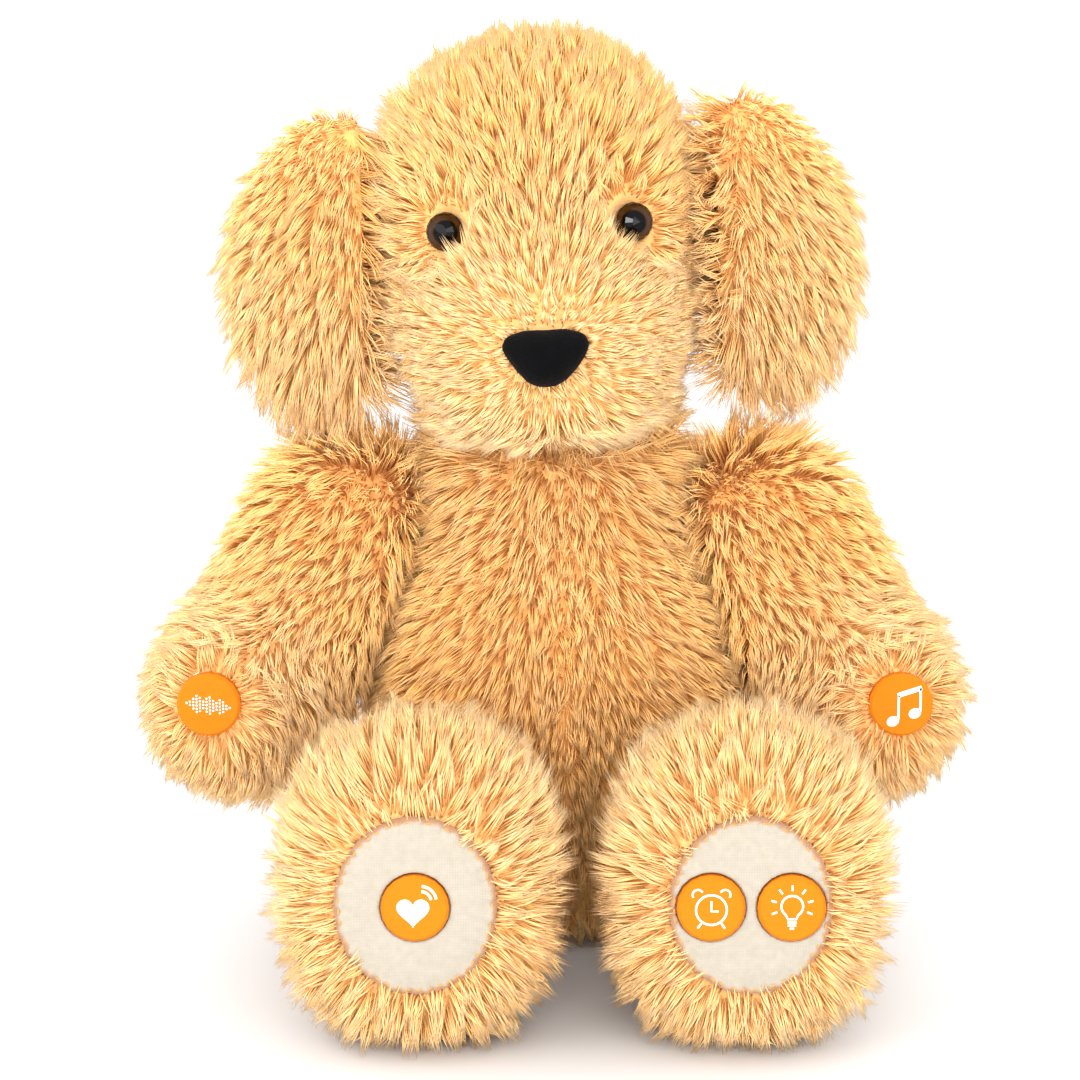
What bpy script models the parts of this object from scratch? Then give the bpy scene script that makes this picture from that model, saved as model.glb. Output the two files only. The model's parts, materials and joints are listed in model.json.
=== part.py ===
"""A sitting plush puppy with sound buttons in its hands and feet, as an assembly.

Metres, +Z up.  The puppy faces -Y, so its own left side is +X.  The origin is on
the floor, under the middle of the whole toy.  Each sewn form is a soft closed
surface; its fur panels are the outer ten millimetres of it, cut along the seams,
and its stuffing is what is left inside them.
"""
import math

import bmesh
import bpy
from mathutils import Matrix, Vector

MM = 0.001
GAP = 0.3 * MM                     # air left between neighbouring pieces
PILE = 10.0 * MM                   # fur pile and backing of one panel
BIG = 0.4                          # reach of a cutter that only has one working face
COLUMN_SPIN = 0.43                 # turn of a soft form's mesh, in segments

# ---- driving dimensions ------------------------------------------------------
ASSEMBLY_SHIFT = Vector((7.6, 27.5, 0.0)) * MM   # brings the middle of the toy to x = y = 0
LEAN = -0.055                      # sideways lean of the torso, per unit of height

BELLY = Vector((67.0, 57.0, 87.0)) * MM          # half sizes of the torso
BELLY_HEIGHT = 80.0 * MM
SHOULDER_TAPER = 0.27              # how much narrower the torso is at the neck

NECK = Vector((-9.0, 0.0, 171.0)) * MM           # centre of the neck, head pivots on it
NECK_RADIUS = 29.0 * MM
NECK_CUT = 6.0 * MM                # head and torso stop this far from the neck's middle
HEAD_ROLL = math.radians(3.0)      # the head hangs a little to the puppy's right

SHOULDER = Vector((44.0, -6.0, 138.0)) * MM      # middle of the seam where an arm joins
ARM_TOP = Vector((62.0, -8.0, 138.0)) * MM
SHOULDER_SLOPE = math.radians(20.0)              # lean of that seam
HAND = Vector((102.5, -34.0, 81.0)) * MM
ARM_RADIUS = 28.0 * MM
HAND_RADIUS = 33.0 * MM

HIP = Vector((42.0, -46.0, 33.0)) * MM
THIGH_RADIUS = 29.0 * MM
THIGH = Vector((43.0, -84.0, 33.0)) * MM
THIGH_HALF_LENGTH = 60.0 * MM
LEG_RAISE = math.radians(20.0)     # how far a leg lifts before it presses the belly
FOOT = Vector((48.0, -129.0, 49.0)) * MM
FOOT_SIZE = Vector((42.0, 31.0, 51.0)) * MM
SOLE_FRONT = -156.5 * MM           # outer face of the sole pads
SOLE_SIZE = Vector((23.5, 26.5)) * MM
SOLE_THICK = 3.0 * MM

BUTTON_RADIUS = 10.2 * MM          # printed discs on the hands
SOLE_BUTTON_RADIUS = 9.8 * MM      # printed discs on the soles
BUTTON_THICK = 4.5 * MM
BUTTON_TRAVEL = 1.5 * MM
SWITCH_DEPTH = 8.0 * MM
HAND_DISC = Vector((110.0, 0.0, 86.0)) * MM      # its depth follows the arm's front
SOLE_BUTTONS = {"left": (("left_foot_inner", -11.5 * MM), ("left_foot_outer", 11.5 * MM)),
                "right": (("right_foot", 0.0),)}
SOLE_BUTTON_PROUD = 1.4 * MM       # how far a disc stands out of its sole pad

HEAD_CENTRE = NECK + Vector((0, -16, 70)) * MM
CRANIUM = Vector((50.0, 53.0, 56.0)) * MM
MUZZLE_CENTRE = NECK + Vector((0, -44, 30)) * MM
MUZZLE = Vector((44.0, 47.0, 38.0)) * MM
GUSSET_HALF = 19.0 * MM            # half width of the panel over the crown
BROW_HEIGHT = 40.0 * MM            # the muzzle panel is below and in front of this
BROW_REACH = 26.0 * MM
BROW_SLOPE = math.radians(-34.0)

EYE_RADIUS = 6.2 * MM
EYE_SPREAD = 31.5 * MM
EYE_HEIGHT = 66.0 * MM             # above the neck pivot
EYE_SETBACK = 2.2 * MM             # how far the rim of an eye sits under the fur
NOSE_SIZE = Vector((12.2, 9.0, 8.8)) * MM
NOSE_HEIGHT = 28.0 * MM            # above the neck pivot
NOSE_BACK = 2.6 * MM               # bulge of the nose behind its rim

EAR_ROOT = Vector((50.0, -10.0, 104.0)) * MM     # from the neck pivot, as is the centre
EAR_CENTRE = Vector((72.5, -21.0, 54.0)) * MM
EAR_SIZE = Vector((35.0, 17.0, 51.5)) * MM
EAR_TURN = math.radians(24.0)      # how far an ear's face turns away from the front
EAR_GAP_X = 50.8 * MM              # inner face of an ear, from the middle of the head
EAR_NARROWING = 0.15               # narrower by this share at its top
EAR_THINNING = 0.3                 # and thinner by this share
EAR_DRAW_IN = 12.0 * MM            # its top lies this much closer to the head

SIDE_SEAM_Y = 6.0 * MM             # the torso's side seams run just behind the arms
STUFFING_BASE = 22.0 * MM          # the torso's stuffing rests on the bean bag
BEAN_BAG_CENTRE = Vector((0.0, 2.0, 16.0)) * MM
BEAN_BAG = Vector((40.0, 34.0, 5.4)) * MM

CLOSURE_SIZE = Vector((46.0, 14.0)) * MM         # opening in the back, width and height
CLOSURE_HEIGHT = 84.0 * MM
CLOSURE_START = 20.0 * MM          # it is cut from here backwards
TAPE_Y = 38.0 * MM                 # inner face of the loop tape
TAPE_THICK = 2.0 * MM
SOUND_BOX_LOW = Vector((-33.0, -6.0, 56.0)) * MM
SOUND_BOX_HIGH = Vector((27.0, 28.0, 112.0)) * MM
BOX_WALL = 2.0 * MM
BOX_SPLIT = 15.0 * MM              # depth of the front half of the sound box
CELL_RADIUS = 5.2 * MM
CELL_LENGTH = 44.5 * MM
CELL_PITCH = 12.0 * MM

TAIL_ROOT = Vector((-1.0, 58.0, 28.0)) * MM
TAIL_CENTRE = TAIL_ROOT + Vector((0.0, 21.0, 5.0)) * MM
TAIL_SIZE = Vector((14.0, 24.0, 14.0)) * MM

SIDES = (("left", 1.0), ("right", -1.0))


# ---- scene, materials --------------------------------------------------------
def clear_scene():
    for item in list(bpy.data.objects):
        bpy.data.objects.remove(item, do_unlink=True)


def collection(name):
    group = bpy.data.collections.new(name)
    bpy.context.scene.collection.children.link(group)
    return group


def material(name, colour, roughness, metallic=0.0):
    finish = bpy.data.materials.new(name)
    finish.use_nodes = True
    shader = finish.node_tree.nodes["Principled BSDF"]
    shader.inputs["Base Color"].default_value = (*colour, 1.0)
    shader.inputs["Roughness"].default_value = roughness
    shader.inputs["Metallic"].default_value = metallic
    finish.diffuse_color = (*colour, 1.0)
    return finish


clear_scene()
PARTS = collection("plush_puppy")
CUTTERS = collection("cutters")

GOLD_FUR = material("golden_fur", (0.90, 0.50, 0.14), 0.95)
PALE_FUR = material("pale_fur", (0.90, 0.62, 0.27), 0.95)
FIBRE = material("polyester_fibre", (0.86, 0.85, 0.82), 1.0)
LINEN = material("sole_linen", (0.80, 0.74, 0.62), 0.9)
PRINT = material("orange_print", (0.90, 0.37, 0.02), 0.6)
EYE_PLASTIC = material("amber_eye_plastic", (0.10, 0.045, 0.012), 0.12)
NOSE_FLOCK = material("black_flock", (0.012, 0.012, 0.014), 0.9)
WHITE_PLASTIC = material("white_plastic", (0.80, 0.80, 0.78), 0.45)
BOARD = material("green_board", (0.03, 0.22, 0.08), 0.5)
CELL = material("battery_sleeve", (0.10, 0.11, 0.12), 0.35, 0.6)
SPEAKER = material("speaker_black", (0.03, 0.03, 0.03), 0.6)
STEEL = material("zinc_screw", (0.62, 0.62, 0.60), 0.3, 1.0)
TAPE = material("hook_and_loop", (0.75, 0.48, 0.22), 0.95)
CANVAS = material("bean_bag_cloth", (0.72, 0.68, 0.60), 0.9)


# ---- empties that hold the moving bodies -------------------------------------
def frame_point(holder):
    return Vector(holder["frame_point"])


def empty(name, place, parent=None, roll=0.0):
    """An empty at a point given in the toy's own frame (unrolled, for the head).

    The root's shift moves the whole toy, so its frame point stays at the frame's origin.
    """
    holder = bpy.data.objects.new(name, None)
    PARTS.objects.link(holder)
    holder.parent = parent
    holder.location = place - (frame_point(parent) if parent else Vector())
    holder.rotation_euler = (0.0, roll, 0.0)
    holder["frame_point"] = place if parent else Vector()
    return holder


# ---- soft forms --------------------------------------------------------------
def gauge(point, lump):
    """1 on the lump's surface, less inside it.  A lump is (centre, radii, fullness)."""
    centre, radii, fullness = lump
    offset = point - centre
    total = sum(abs(offset[i] / radii[i]) ** fullness for i in range(3))
    return total ** (1.0 / fullness)


def blended_gauge(point, lumps, sharpness=9.0):
    total = sum(max(gauge(point, lump), 1e-4) ** -sharpness for lump in lumps)
    return total ** (-1.0 / sharpness)


def surface_point(hub, direction, lumps):
    """Where a ray from the hub leaves the blended lumps."""
    near, far = 0.0, 0.25
    for _ in range(24):
        middle = (near + far) / 2
        if blended_gauge(hub + direction * middle, lumps) < 1.0:
            near = middle
        else:
            far = middle
    return hub + direction * near


def soft_form(name, hub, lumps, pole=Vector((0, 0, 1)), segments=20, rings=12,
              inset=0.0, floor=None, warp=None):
    """A closed surface around the lumps, its sphere's poles along pole.

    The sphere is spun by a part of a segment, so that no column of points lies on a seam,
    and every quad is cut along the same diagonal, so that nested forms stay parallel.
    """
    shape = bmesh.new()
    bmesh.ops.create_uvsphere(shape, u_segments=segments, v_segments=rings, radius=1.0)
    spin = Matrix.Rotation(COLUMN_SPIN * math.tau / segments, 3, "Z")
    turn = Vector((0, 0, 1)).rotation_difference(pole.normalized()).to_matrix() @ spin
    for vert in shape.verts:
        spot = surface_point(hub, turn @ vert.co.normalized(), lumps)
        vert.co = warp(spot) if warp else spot
    shape.normal_update()
    if inset:
        moves = [(vert, vert.co - vert.normal * inset) for vert in shape.verts]
        for vert, spot in moves:
            vert.co = spot
    if floor is not None:
        for vert in shape.verts:
            vert.co.z = max(vert.co.z, floor + inset)
    bmesh.ops.triangulate(shape, faces=shape.faces, quad_method="FIXED")
    return finish_mesh(name, shape)


def finish_mesh(name, shape, smooth=True):
    mesh = bpy.data.meshes.new(name)
    shape.to_mesh(mesh)
    shape.free()
    if smooth:
        mesh.shade_smooth()
    return mesh


def block_mesh(name, low, high):
    shape = bmesh.new()
    bmesh.ops.create_cube(shape, size=1.0)
    for vert in shape.verts:
        vert.co = Vector(high[i] if vert.co[i] > 0 else low[i] for i in range(3))
    return finish_mesh(name, shape, smooth=False)


def drum_mesh(name, centre, radius, depth, axis=Vector((0, 1, 0)), sides=20):
    """A round drum whose axis passes through its centre."""
    shape = bmesh.new()
    bmesh.ops.create_cone(shape, cap_ends=True, segments=sides, radius1=radius,
                          radius2=radius, depth=depth)
    turn = Vector((0, 0, 1)).rotation_difference(axis.normalized()).to_matrix().to_4x4()
    bmesh.ops.transform(shape, matrix=Matrix.Translation(centre) @ turn, verts=shape.verts)
    return finish_mesh(name, shape, smooth=False)


def turned_mesh(name, profile, steps=16):
    """A profile of (radius, height) pairs, from the top pole to the bottom one."""
    shape = bmesh.new()
    rings = []
    for radius, height in profile:
        if radius < 1e-7:
            rings.append([shape.verts.new((0, 0, height))])
            continue
        angles = [2 * math.pi * k / steps for k in range(steps)]
        rings.append([shape.verts.new((radius * math.cos(a), radius * math.sin(a), height))
                      for a in angles])
    for upper, lower in zip(rings, rings[1:]):
        for k in range(steps):
            corners = [upper[k % len(upper)], lower[k % len(lower)],
                       lower[(k + 1) % len(lower)], upper[(k + 1) % len(upper)]]
            shape.faces.new(list(dict.fromkeys(corners)))
    return finish_mesh(name, shape)


# ---- objects -----------------------------------------------------------------
def add_object(name, mesh, group, holder):
    """Puts a mesh made in the toy's frame on its holder, with local coordinates."""
    mesh.transform(Matrix.Translation(-frame_point(holder)))
    item = bpy.data.objects.new(name, mesh)
    group.objects.link(item)
    item.parent = holder
    return item


def cutter(name, mesh, holder):
    item = add_object(name, mesh, CUTTERS, holder)
    item.hide_render = True
    item.display_type = "WIRE"
    return item


def part(name, mesh, finish, holder, keep=(), cut=(), bevel=None):
    """A named piece: its surface, then what is kept of it and what is cut away."""
    item = add_object(name, mesh, PARTS, holder)
    item.data.materials.append(finish)
    if bevel:
        edge = item.modifiers.new("rounded_edges", "BEVEL")
        edge.width = bevel
        edge.segments = 1
        edge.limit_method = "ANGLE"
    for operation, tools in (("INTERSECT", keep), ("DIFFERENCE", cut)):
        for tool in tools:
            step = item.modifiers.new(tool.name, "BOOLEAN")
            step.operation = operation
            step.object = tool
            step.solver = "EXACT"
    return item


def half_space(name, point, normal, holder):
    """A large block whose one working face passes through point and looks along -normal."""
    mesh = block_mesh(name, (-BIG, -BIG, 0.0), (BIG, BIG, BIG))
    turn = Vector((0, 0, 1)).rotation_difference(normal.normalized()).to_matrix().to_4x4()
    mesh.transform(Matrix.Translation(point) @ turn)
    return cutter(name, mesh, holder)


def mirrored(point, sign):
    return Vector((point.x * sign, point.y, point.z))


ROOT = empty("torso_frame", ASSEMBLY_SHIFT)
NECK_PIVOT = empty("neck_pivot", NECK, ROOT)
HEAD_PIVOT = empty("head_pivot", NECK, NECK_PIVOT, roll=-HEAD_ROLL)
FACING = Vector((0.0, -1.0, 0.0))                # the puppy looks this way
UP = Vector((0.0, 0.0, 1.0))


# ---- torso -------------------------------------------------------------------
def torso_lumps():
    lower = (Vector((0, 0, BELLY_HEIGHT * 0.86)), BELLY, 2.6)
    chest = (Vector((0, 0, 118 * MM)), Vector((60, 48, 62)) * MM, 2.6)
    return [lower, chest]


def torso_warp(spot):
    """Narrows the torso towards the neck and leans it to the puppy's right."""
    climb = min(max((spot.z - 60 * MM) / (105 * MM), 0.0), 1.0)
    climb = climb * climb * (3 - 2 * climb)
    width = 1.0 - SHOULDER_TAPER * climb
    return Vector((spot.x * width + LEAN * spot.z, spot.y * (1.0 - 0.2 * climb), spot.z))


def torso_form(name, inset=0.0):
    hub = Vector((0, 0, BELLY_HEIGHT))
    return soft_form(name, hub, torso_lumps(), segments=20, rings=13, inset=inset,
                     floor=0.0, warp=torso_warp)


def ball_mesh(name, centre, radius, segments=18, rings=11):
    shape = bmesh.new()
    bmesh.ops.create_uvsphere(shape, u_segments=segments, v_segments=rings, radius=radius)
    bmesh.ops.translate(shape, vec=centre, verts=shape.verts)
    return finish_mesh(name, shape)


def hip_point(sign):
    return mirrored(HIP, sign)


def thigh_point(sign):
    return mirrored(THIGH, sign)


def thigh_lump(sign, spare=0.0):
    """The thigh's own soft lump, or a roomier one for the lap it is raised into."""
    radii = Vector((THIGH_RADIUS + spare, THIGH_HALF_LENGTH, THIGH_RADIUS + 2 * MM + spare))
    return (thigh_point(sign), radii, 2.3)


def shoulder_point(sign):
    return mirrored(SHOULDER, sign) + Vector((LEAN * SHOULDER.z, 0, 0))


def shoulder_axis(sign):
    """The normal of the shoulder seam; an arm swings about it."""
    return Vector((sign * math.cos(SHOULDER_SLOPE), 0, math.sin(SHOULDER_SLOPE)))


def neck_hollow_mesh(name, flip):
    """A cup for the neck ball, and beyond its rim everything past a flat cut."""
    radius = NECK_RADIUS + GAP * 2
    rim = math.acos(NECK_CUT / radius)
    steps = 8
    profile = [(radius * math.sin(rim * k / steps), radius * math.cos(rim * k / steps))
               for k in range(steps + 1)]
    profile += [(BIG, NECK_CUT), (BIG, -BIG), (0, -BIG)]
    mesh = turned_mesh(name, profile, steps=18)
    turn = Matrix.Rotation(math.pi if flip else 0.0, 4, "X")
    mesh.transform(Matrix.Translation(NECK) @ turn)
    return mesh


def build_torso():
    hollows = [cutter("neck_hollow", neck_hollow_mesh("neck_hollow", True), ROOT)]
    for side, sign in SIDES:
        hollow = ball_mesh(side + "_hip_hollow", hip_point(sign), THIGH_RADIUS + 1.6 * MM)
        hollows.append(cutter(side + "_hip_hollow", hollow, ROOT))
        lap = soft_form(side + "_hip_lap", thigh_point(sign), [thigh_lump(sign, 1.4 * MM)],
                        pole=FACING, segments=14, rings=9)
        hip = Matrix.Translation(hip_point(sign))
        lap.transform(hip @ Matrix.Rotation(-LEG_RAISE, 4, "X") @ hip.inverted())
        hollows.append(cutter(side + "_hip_lap", lap, ROOT))
        seam = shoulder_point(sign) - shoulder_axis(sign) * GAP
        hollows.append(half_space(side + "_shoulder_cut", seam, shoulder_axis(sign), ROOT))

    core = cutter("torso_core", torso_form("torso_core", inset=PILE), ROOT)
    slot = build_closure_slot()
    faces = (("front", -BIG, SIDE_SEAM_Y - GAP / 2), ("back", SIDE_SEAM_Y + GAP / 2, BIG))
    for face, low_y, high_y in faces:
        for side, sign in SIDES:
            edges = sorted((sign * GAP / 2, sign * BIG))
            quarter = block_mesh("quarter", (edges[0], low_y, -BIG), (edges[1], high_y, BIG))
            quarter.transform(lean_matrix())
            name = f"torso_{face}_{side}_panel"
            keep = [cutter(name + "_block", quarter, ROOT)]
            cut = hollows if face == "front" else hollows + [slot]
            part(name, torso_form(name), GOLD_FUR, ROOT, keep=keep, cut=[core] + cut)

    base = half_space("stuffing_base", Vector((0, 0, STUFFING_BASE)), -UP, ROOT)
    pocket = block_mesh("sound_box_pocket", SOUND_BOX_LOW - Vector((1, 1, 1)) * GAP,
                        (SOUND_BOX_HIGH.x + GAP, BIG, SOUND_BOX_HIGH.z + GAP))
    pocket = cutter("sound_box_pocket", pocket, ROOT)
    stuffing = torso_form("torso_stuffing", inset=PILE + 3 * GAP)
    part("torso_stuffing", stuffing, FIBRE, ROOT, cut=hollows + [base, pocket])

    beans = soft_form("seat_bean_bag", BEAN_BAG_CENTRE, [(BEAN_BAG_CENTRE, BEAN_BAG, 2.4)],
                      segments=16, rings=7)
    front_cut = [tool for tool in hollows if "hip_hollow" in tool.name]
    part("seat_bean_bag", beans, CANVAS, ROOT, cut=front_cut)


def lean_matrix():
    """Leans a block sideways with the torso, so that the seams follow the middle."""
    lean = Matrix.Identity(4)
    lean[0][2] = LEAN
    return lean


def build_closure_slot():
    """The gap in the back seam through which the sound box is reached."""
    half = CLOSURE_SIZE / 2
    middle = (SOUND_BOX_LOW.x + SOUND_BOX_HIGH.x) / 2
    slot = block_mesh("closure_slot",
                      (middle - half.x, CLOSURE_START, CLOSURE_HEIGHT - half.y),
                      (middle + half.x, BIG, CLOSURE_HEIGHT + half.y))
    return cutter("closure_slot", slot, ROOT)


def build_closure():
    """Two hook-and-loop tapes that fill the opening in the back."""
    half = CLOSURE_SIZE / 2
    middle = (SOUND_BOX_LOW.x + SOUND_BOX_HIGH.x) / 2
    hook_y = TAPE_Y + TAPE_THICK + GAP
    for name, near in (("closure_loop_tape", TAPE_Y), ("closure_hook_tape", hook_y)):
        low = (middle - half.x + GAP, near, CLOSURE_HEIGHT - half.y + GAP)
        high = (middle + half.x - GAP, near + TAPE_THICK, CLOSURE_HEIGHT + half.y - GAP)
        part(name, block_mesh(name, low, high), TAPE, ROOT, bevel=0.5 * MM)


# ---- sound box ---------------------------------------------------------------
def build_sound_box():
    """A screwed plastic box: speaker and board in front, three cells behind a door."""
    low, high = SOUND_BOX_LOW, SOUND_BOX_HIGH
    split = low.y + BOX_SPLIT
    middle = (low + high) / 2
    front_high = (high.x, split - GAP / 2, high.z)
    room = (low.x + BOX_WALL, low.y + BOX_WALL, low.z + BOX_WALL)
    room_end = (high.x - BOX_WALL, split + 5 * MM, high.z - BOX_WALL)
    front_room = cutter("front_room", block_mesh("front_room", room, room_end), ROOT)
    part("sound_box_front", block_mesh("sound_box_front", low, front_high), WHITE_PLASTIC,
         ROOT, cut=[front_room], bevel=1.5 * MM)

    door_y = high.y - 2 * MM
    back_low = (low.x, split + GAP / 2, low.z)
    cell_room = block_mesh("cell_room", (low.x + BOX_WALL, split + 4 * MM, middle.z - 19 * MM),
                           (high.x - BOX_WALL, BIG, middle.z + 19 * MM))
    part("sound_box_back", block_mesh("sound_box_back", back_low, (high.x, door_y, high.z)),
         WHITE_PLASTIC, ROOT, cut=[cutter("cell_room", cell_room, ROOT)], bevel=1.0 * MM)

    screw_place = Vector((middle.x, high.y, high.z - 5 * MM))
    screw_hole = cutter("screw_hole", drum_mesh("screw_hole", screw_place, 2.6 * MM, 3 * MM), ROOT)
    door = block_mesh("battery_door", (low.x + 1 * MM, door_y + GAP, low.z + 1 * MM),
                      (high.x - 1 * MM, high.y, high.z - 1 * MM))
    part("battery_door", door, WHITE_PLASTIC, ROOT, cut=[screw_hole], bevel=0.4 * MM)
    screw = drum_mesh("battery_door_screw", screw_place - Vector((0, 0.4, 0)) * MM, 2.2 * MM,
                      1.8 * MM, sides=12)
    part("battery_door_screw", screw, STEEL, ROOT, bevel=0.3 * MM)

    for index in range(3):
        place = Vector((middle.x, split + 10.2 * MM, middle.z + (index - 1) * CELL_PITCH))
        cell = drum_mesh(f"battery_{index + 1}", place, CELL_RADIUS, CELL_LENGTH,
                         axis=Vector((1, 0, 0)), sides=12)
        part(f"battery_{index + 1}", cell, CELL, ROOT, bevel=0.6 * MM)

    board = block_mesh("circuit_board", (low.x + 4 * MM, split - 1.8 * MM, low.z + 4 * MM),
                       (high.x - 4 * MM, split - 0.3 * MM, high.z - 4 * MM))
    part("circuit_board", board, BOARD, ROOT)
    speaker = turned_mesh("speaker", ((0, 9.5 * MM), (9 * MM, 9.5 * MM), (10 * MM, 5 * MM),
                                      (18 * MM, 1.5 * MM), (18 * MM, 0), (15 * MM, 0),
                                      (6 * MM, 2.5 * MM), (0, 1.5 * MM)), steps=16)
    turn = Matrix.Rotation(math.radians(-90), 4, "X")
    speaker_place = Vector((middle.x - 6 * MM, low.y + BOX_WALL + GAP, middle.z))
    speaker.transform(Matrix.Translation(speaker_place) @ turn)
    part("speaker", speaker, SPEAKER, ROOT)
    lamp = turned_mesh("night_light_lens", ((0, 6 * MM), (3.5 * MM, 5 * MM), (5 * MM, 2 * MM),
                                            (5 * MM, 0), (0, 0)), steps=12)
    lamp_place = Vector((high.x - 9 * MM, low.y + BOX_WALL + GAP, middle.z))
    lamp.transform(Matrix.Translation(lamp_place) @ turn)
    part("night_light_lens", lamp, WHITE_PLASTIC, ROOT)


# ---- neck and head -----------------------------------------------------------
def head_lumps():
    return [(HEAD_CENTRE, CRANIUM, 2.35), (MUZZLE_CENTRE, MUZZLE, 2.2)]


def head_form(name, inset=0.0):
    hub = HEAD_CENTRE + Vector((0, -8, -16)) * MM
    return soft_form(name, hub, head_lumps(), segments=20, rings=13, inset=inset)


def head_surface(point_x, point_z, lumps):
    """The front of the head at a place in its front view."""
    near, far = 0.0, 0.25
    for _ in range(30):
        middle = (near + far) / 2
        spot = Vector((point_x, HEAD_CENTRE.y - middle, point_z))
        if blended_gauge(spot, lumps) < 1.0:
            near = middle
        else:
            far = middle
    return Vector((point_x, HEAD_CENTRE.y - near, point_z))


def eye_profile(spare=0.0):
    """Dome, rim and post of a safety eye, its post along -Z."""
    grow = spare
    return ((0, 1.6 * MM + grow), (2.6 * MM, 1.2 * MM + grow), (4.6 * MM, 0.0),
            (EYE_RADIUS - 0.4 * MM + grow, -1.8 * MM), (EYE_RADIUS + grow, -3.4 * MM),
            (EYE_RADIUS - 0.5 * MM + grow, -4.6 * MM - grow), (2.0 * MM + grow, -5.0 * MM - grow),
            (2.0 * MM + grow, -15.5 * MM - grow), (0, -15.5 * MM - grow))


def eye_cut_profile():
    """The hole for an eye: wide down to the backing, then as wide as the post."""
    wide = EYE_RADIUS + 0.6 * MM
    narrow = 2.5 * MM
    return ((0, 9 * MM), (wide, 9 * MM), (wide, -5.5 * MM), (narrow, -5.5 * MM),
            (narrow, -17.0 * MM), (0, -17.0 * MM))


def washer_mesh(name, inner, outer, top, bottom, steps=12):
    shape = bmesh.new()
    rings = []
    for radius, height in ((inner, top), (inner, bottom), (outer, bottom), (outer, top)):
        angles = [2 * math.pi * k / steps for k in range(steps)]
        rings.append([shape.verts.new((radius * math.cos(a), radius * math.sin(a), height))
                      for a in angles])
    for index in range(4):
        here, after = rings[index], rings[(index + 1) % 4]
        for k in range(steps):
            shape.faces.new((here[k], after[k], after[(k + 1) % steps], here[(k + 1) % steps]))
    bmesh.ops.recalc_face_normals(shape, faces=shape.faces)
    return finish_mesh(name, shape, smooth=False)


def build_neck():
    ball = ball_mesh("neck_stuffing", NECK, NECK_RADIUS)
    part("neck_stuffing", ball, FIBRE, NECK_PIVOT)


def build_head():
    neck = [cutter("head_neck_hollow", neck_hollow_mesh("head_neck_hollow", False), HEAD_PIVOT)]
    holes = {"muzzle": []}
    washer_rooms = []
    lumps = head_lumps()
    for side, sign in SIDES:
        spot = head_surface(NECK.x + sign * EYE_SPREAD, NECK.z + EYE_HEIGHT, lumps)
        look = Vector((sign * 0.42, -1.0, 0.04)).normalized()
        turn = UP.rotation_difference(look).to_matrix().to_4x4()
        place = Matrix.Translation(spot - look * EYE_SETBACK) @ turn
        eye = turned_mesh(f"{side}_eye", eye_profile())
        eye.transform(place)
        part(f"{side}_eye", eye, EYE_PLASTIC, HEAD_PIVOT)
        hole = turned_mesh(f"{side}_eye_hole", eye_cut_profile())
        hole.transform(place)
        holes[side] = [cutter(f"{side}_eye_hole", hole, HEAD_PIVOT)]
        washer = washer_mesh(f"{side}_eye_washer", 2.3 * MM, 5.8 * MM, -12.4 * MM, -13.8 * MM)
        washer.transform(place)
        part(f"{side}_eye_washer", washer, WHITE_PLASTIC, HEAD_PIVOT)
        room = turned_mesh(f"{side}_washer_room", ((0, -3 * MM), (7.2 * MM, -3 * MM),
                           (7.2 * MM, -16.5 * MM), (0, -16.5 * MM)), steps=12)
        room.transform(place)
        washer_rooms.append(cutter(f"{side}_washer_room", room, HEAD_PIVOT))

    nose_spot = head_surface(NECK.x, NECK.z + NOSE_HEIGHT, lumps)
    facing = UP.rotation_difference(FACING).to_matrix().to_4x4()
    build_nose(Matrix.Translation(nose_spot + Vector((0, 4.5, 0)) * MM) @ facing)
    nose_hole = drum_mesh("nose_post_hole", nose_spot + Vector((0, 4, 0)) * MM, 2.5 * MM, 30 * MM,
                          sides=16)
    holes["muzzle"].append(cutter("nose_post_hole", nose_hole, HEAD_PIVOT))
    recess = drum_mesh("nose_recess", nose_spot + Vector((0, -8.6, 0)) * MM, 15.5 * MM, 30 * MM)
    holes["muzzle"].append(cutter("nose_recess", recess, HEAD_PIVOT))
    room = drum_mesh("nose_washer_room", nose_spot + Vector((0, 10, 0)) * MM, 7.0 * MM, 14 * MM,
                     sides=16)
    washer_rooms.append(cutter("nose_washer_room", room, HEAD_PIVOT))

    core = cutter("head_core", head_form("head_core", inset=PILE), HEAD_PIVOT)
    brow = Vector((0, HEAD_CENTRE.y - BROW_REACH, NECK.z + BROW_HEIGHT))
    slope = Matrix.Translation(brow) @ Matrix.Rotation(BROW_SLOPE, 4, "X")
    above = block_mesh("above_muzzle", (-BIG, -BIG, GAP / 2), (BIG, BIG, BIG))
    below = block_mesh("below_muzzle", (-BIG, -BIG, -BIG), (BIG, BIG, -GAP / 2))
    above.transform(slope)
    below.transform(slope)
    above = cutter("above_muzzle", above, HEAD_PIVOT)
    below = cutter("below_muzzle", below, HEAD_PIVOT)
    left, right = NECK.x + GUSSET_HALF, NECK.x - GUSSET_HALF
    bands = (("head_left_panel", left + GAP / 2, BIG, holes["left"]),
             ("head_centre_panel", right + GAP / 2, left - GAP / 2, []),
             ("head_right_panel", -BIG, right - GAP / 2, holes["right"]))
    for name, low_x, high_x, own_holes in bands:
        band = block_mesh(name + "_block", (low_x, -BIG, -BIG), (high_x, BIG, BIG))
        band = cutter(name + "_block", band, HEAD_PIVOT)
        part(name, head_form(name), GOLD_FUR, HEAD_PIVOT, keep=[band, above],
             cut=[core] + neck + own_holes)
    part("muzzle_panel", head_form("muzzle_panel"), PALE_FUR, HEAD_PIVOT, keep=[below],
         cut=[core] + neck + holes["muzzle"])
    stuffing = head_form("head_stuffing", inset=PILE + 3 * GAP)
    part("head_stuffing", stuffing, FIBRE, HEAD_PIVOT, cut=neck + washer_rooms)


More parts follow.
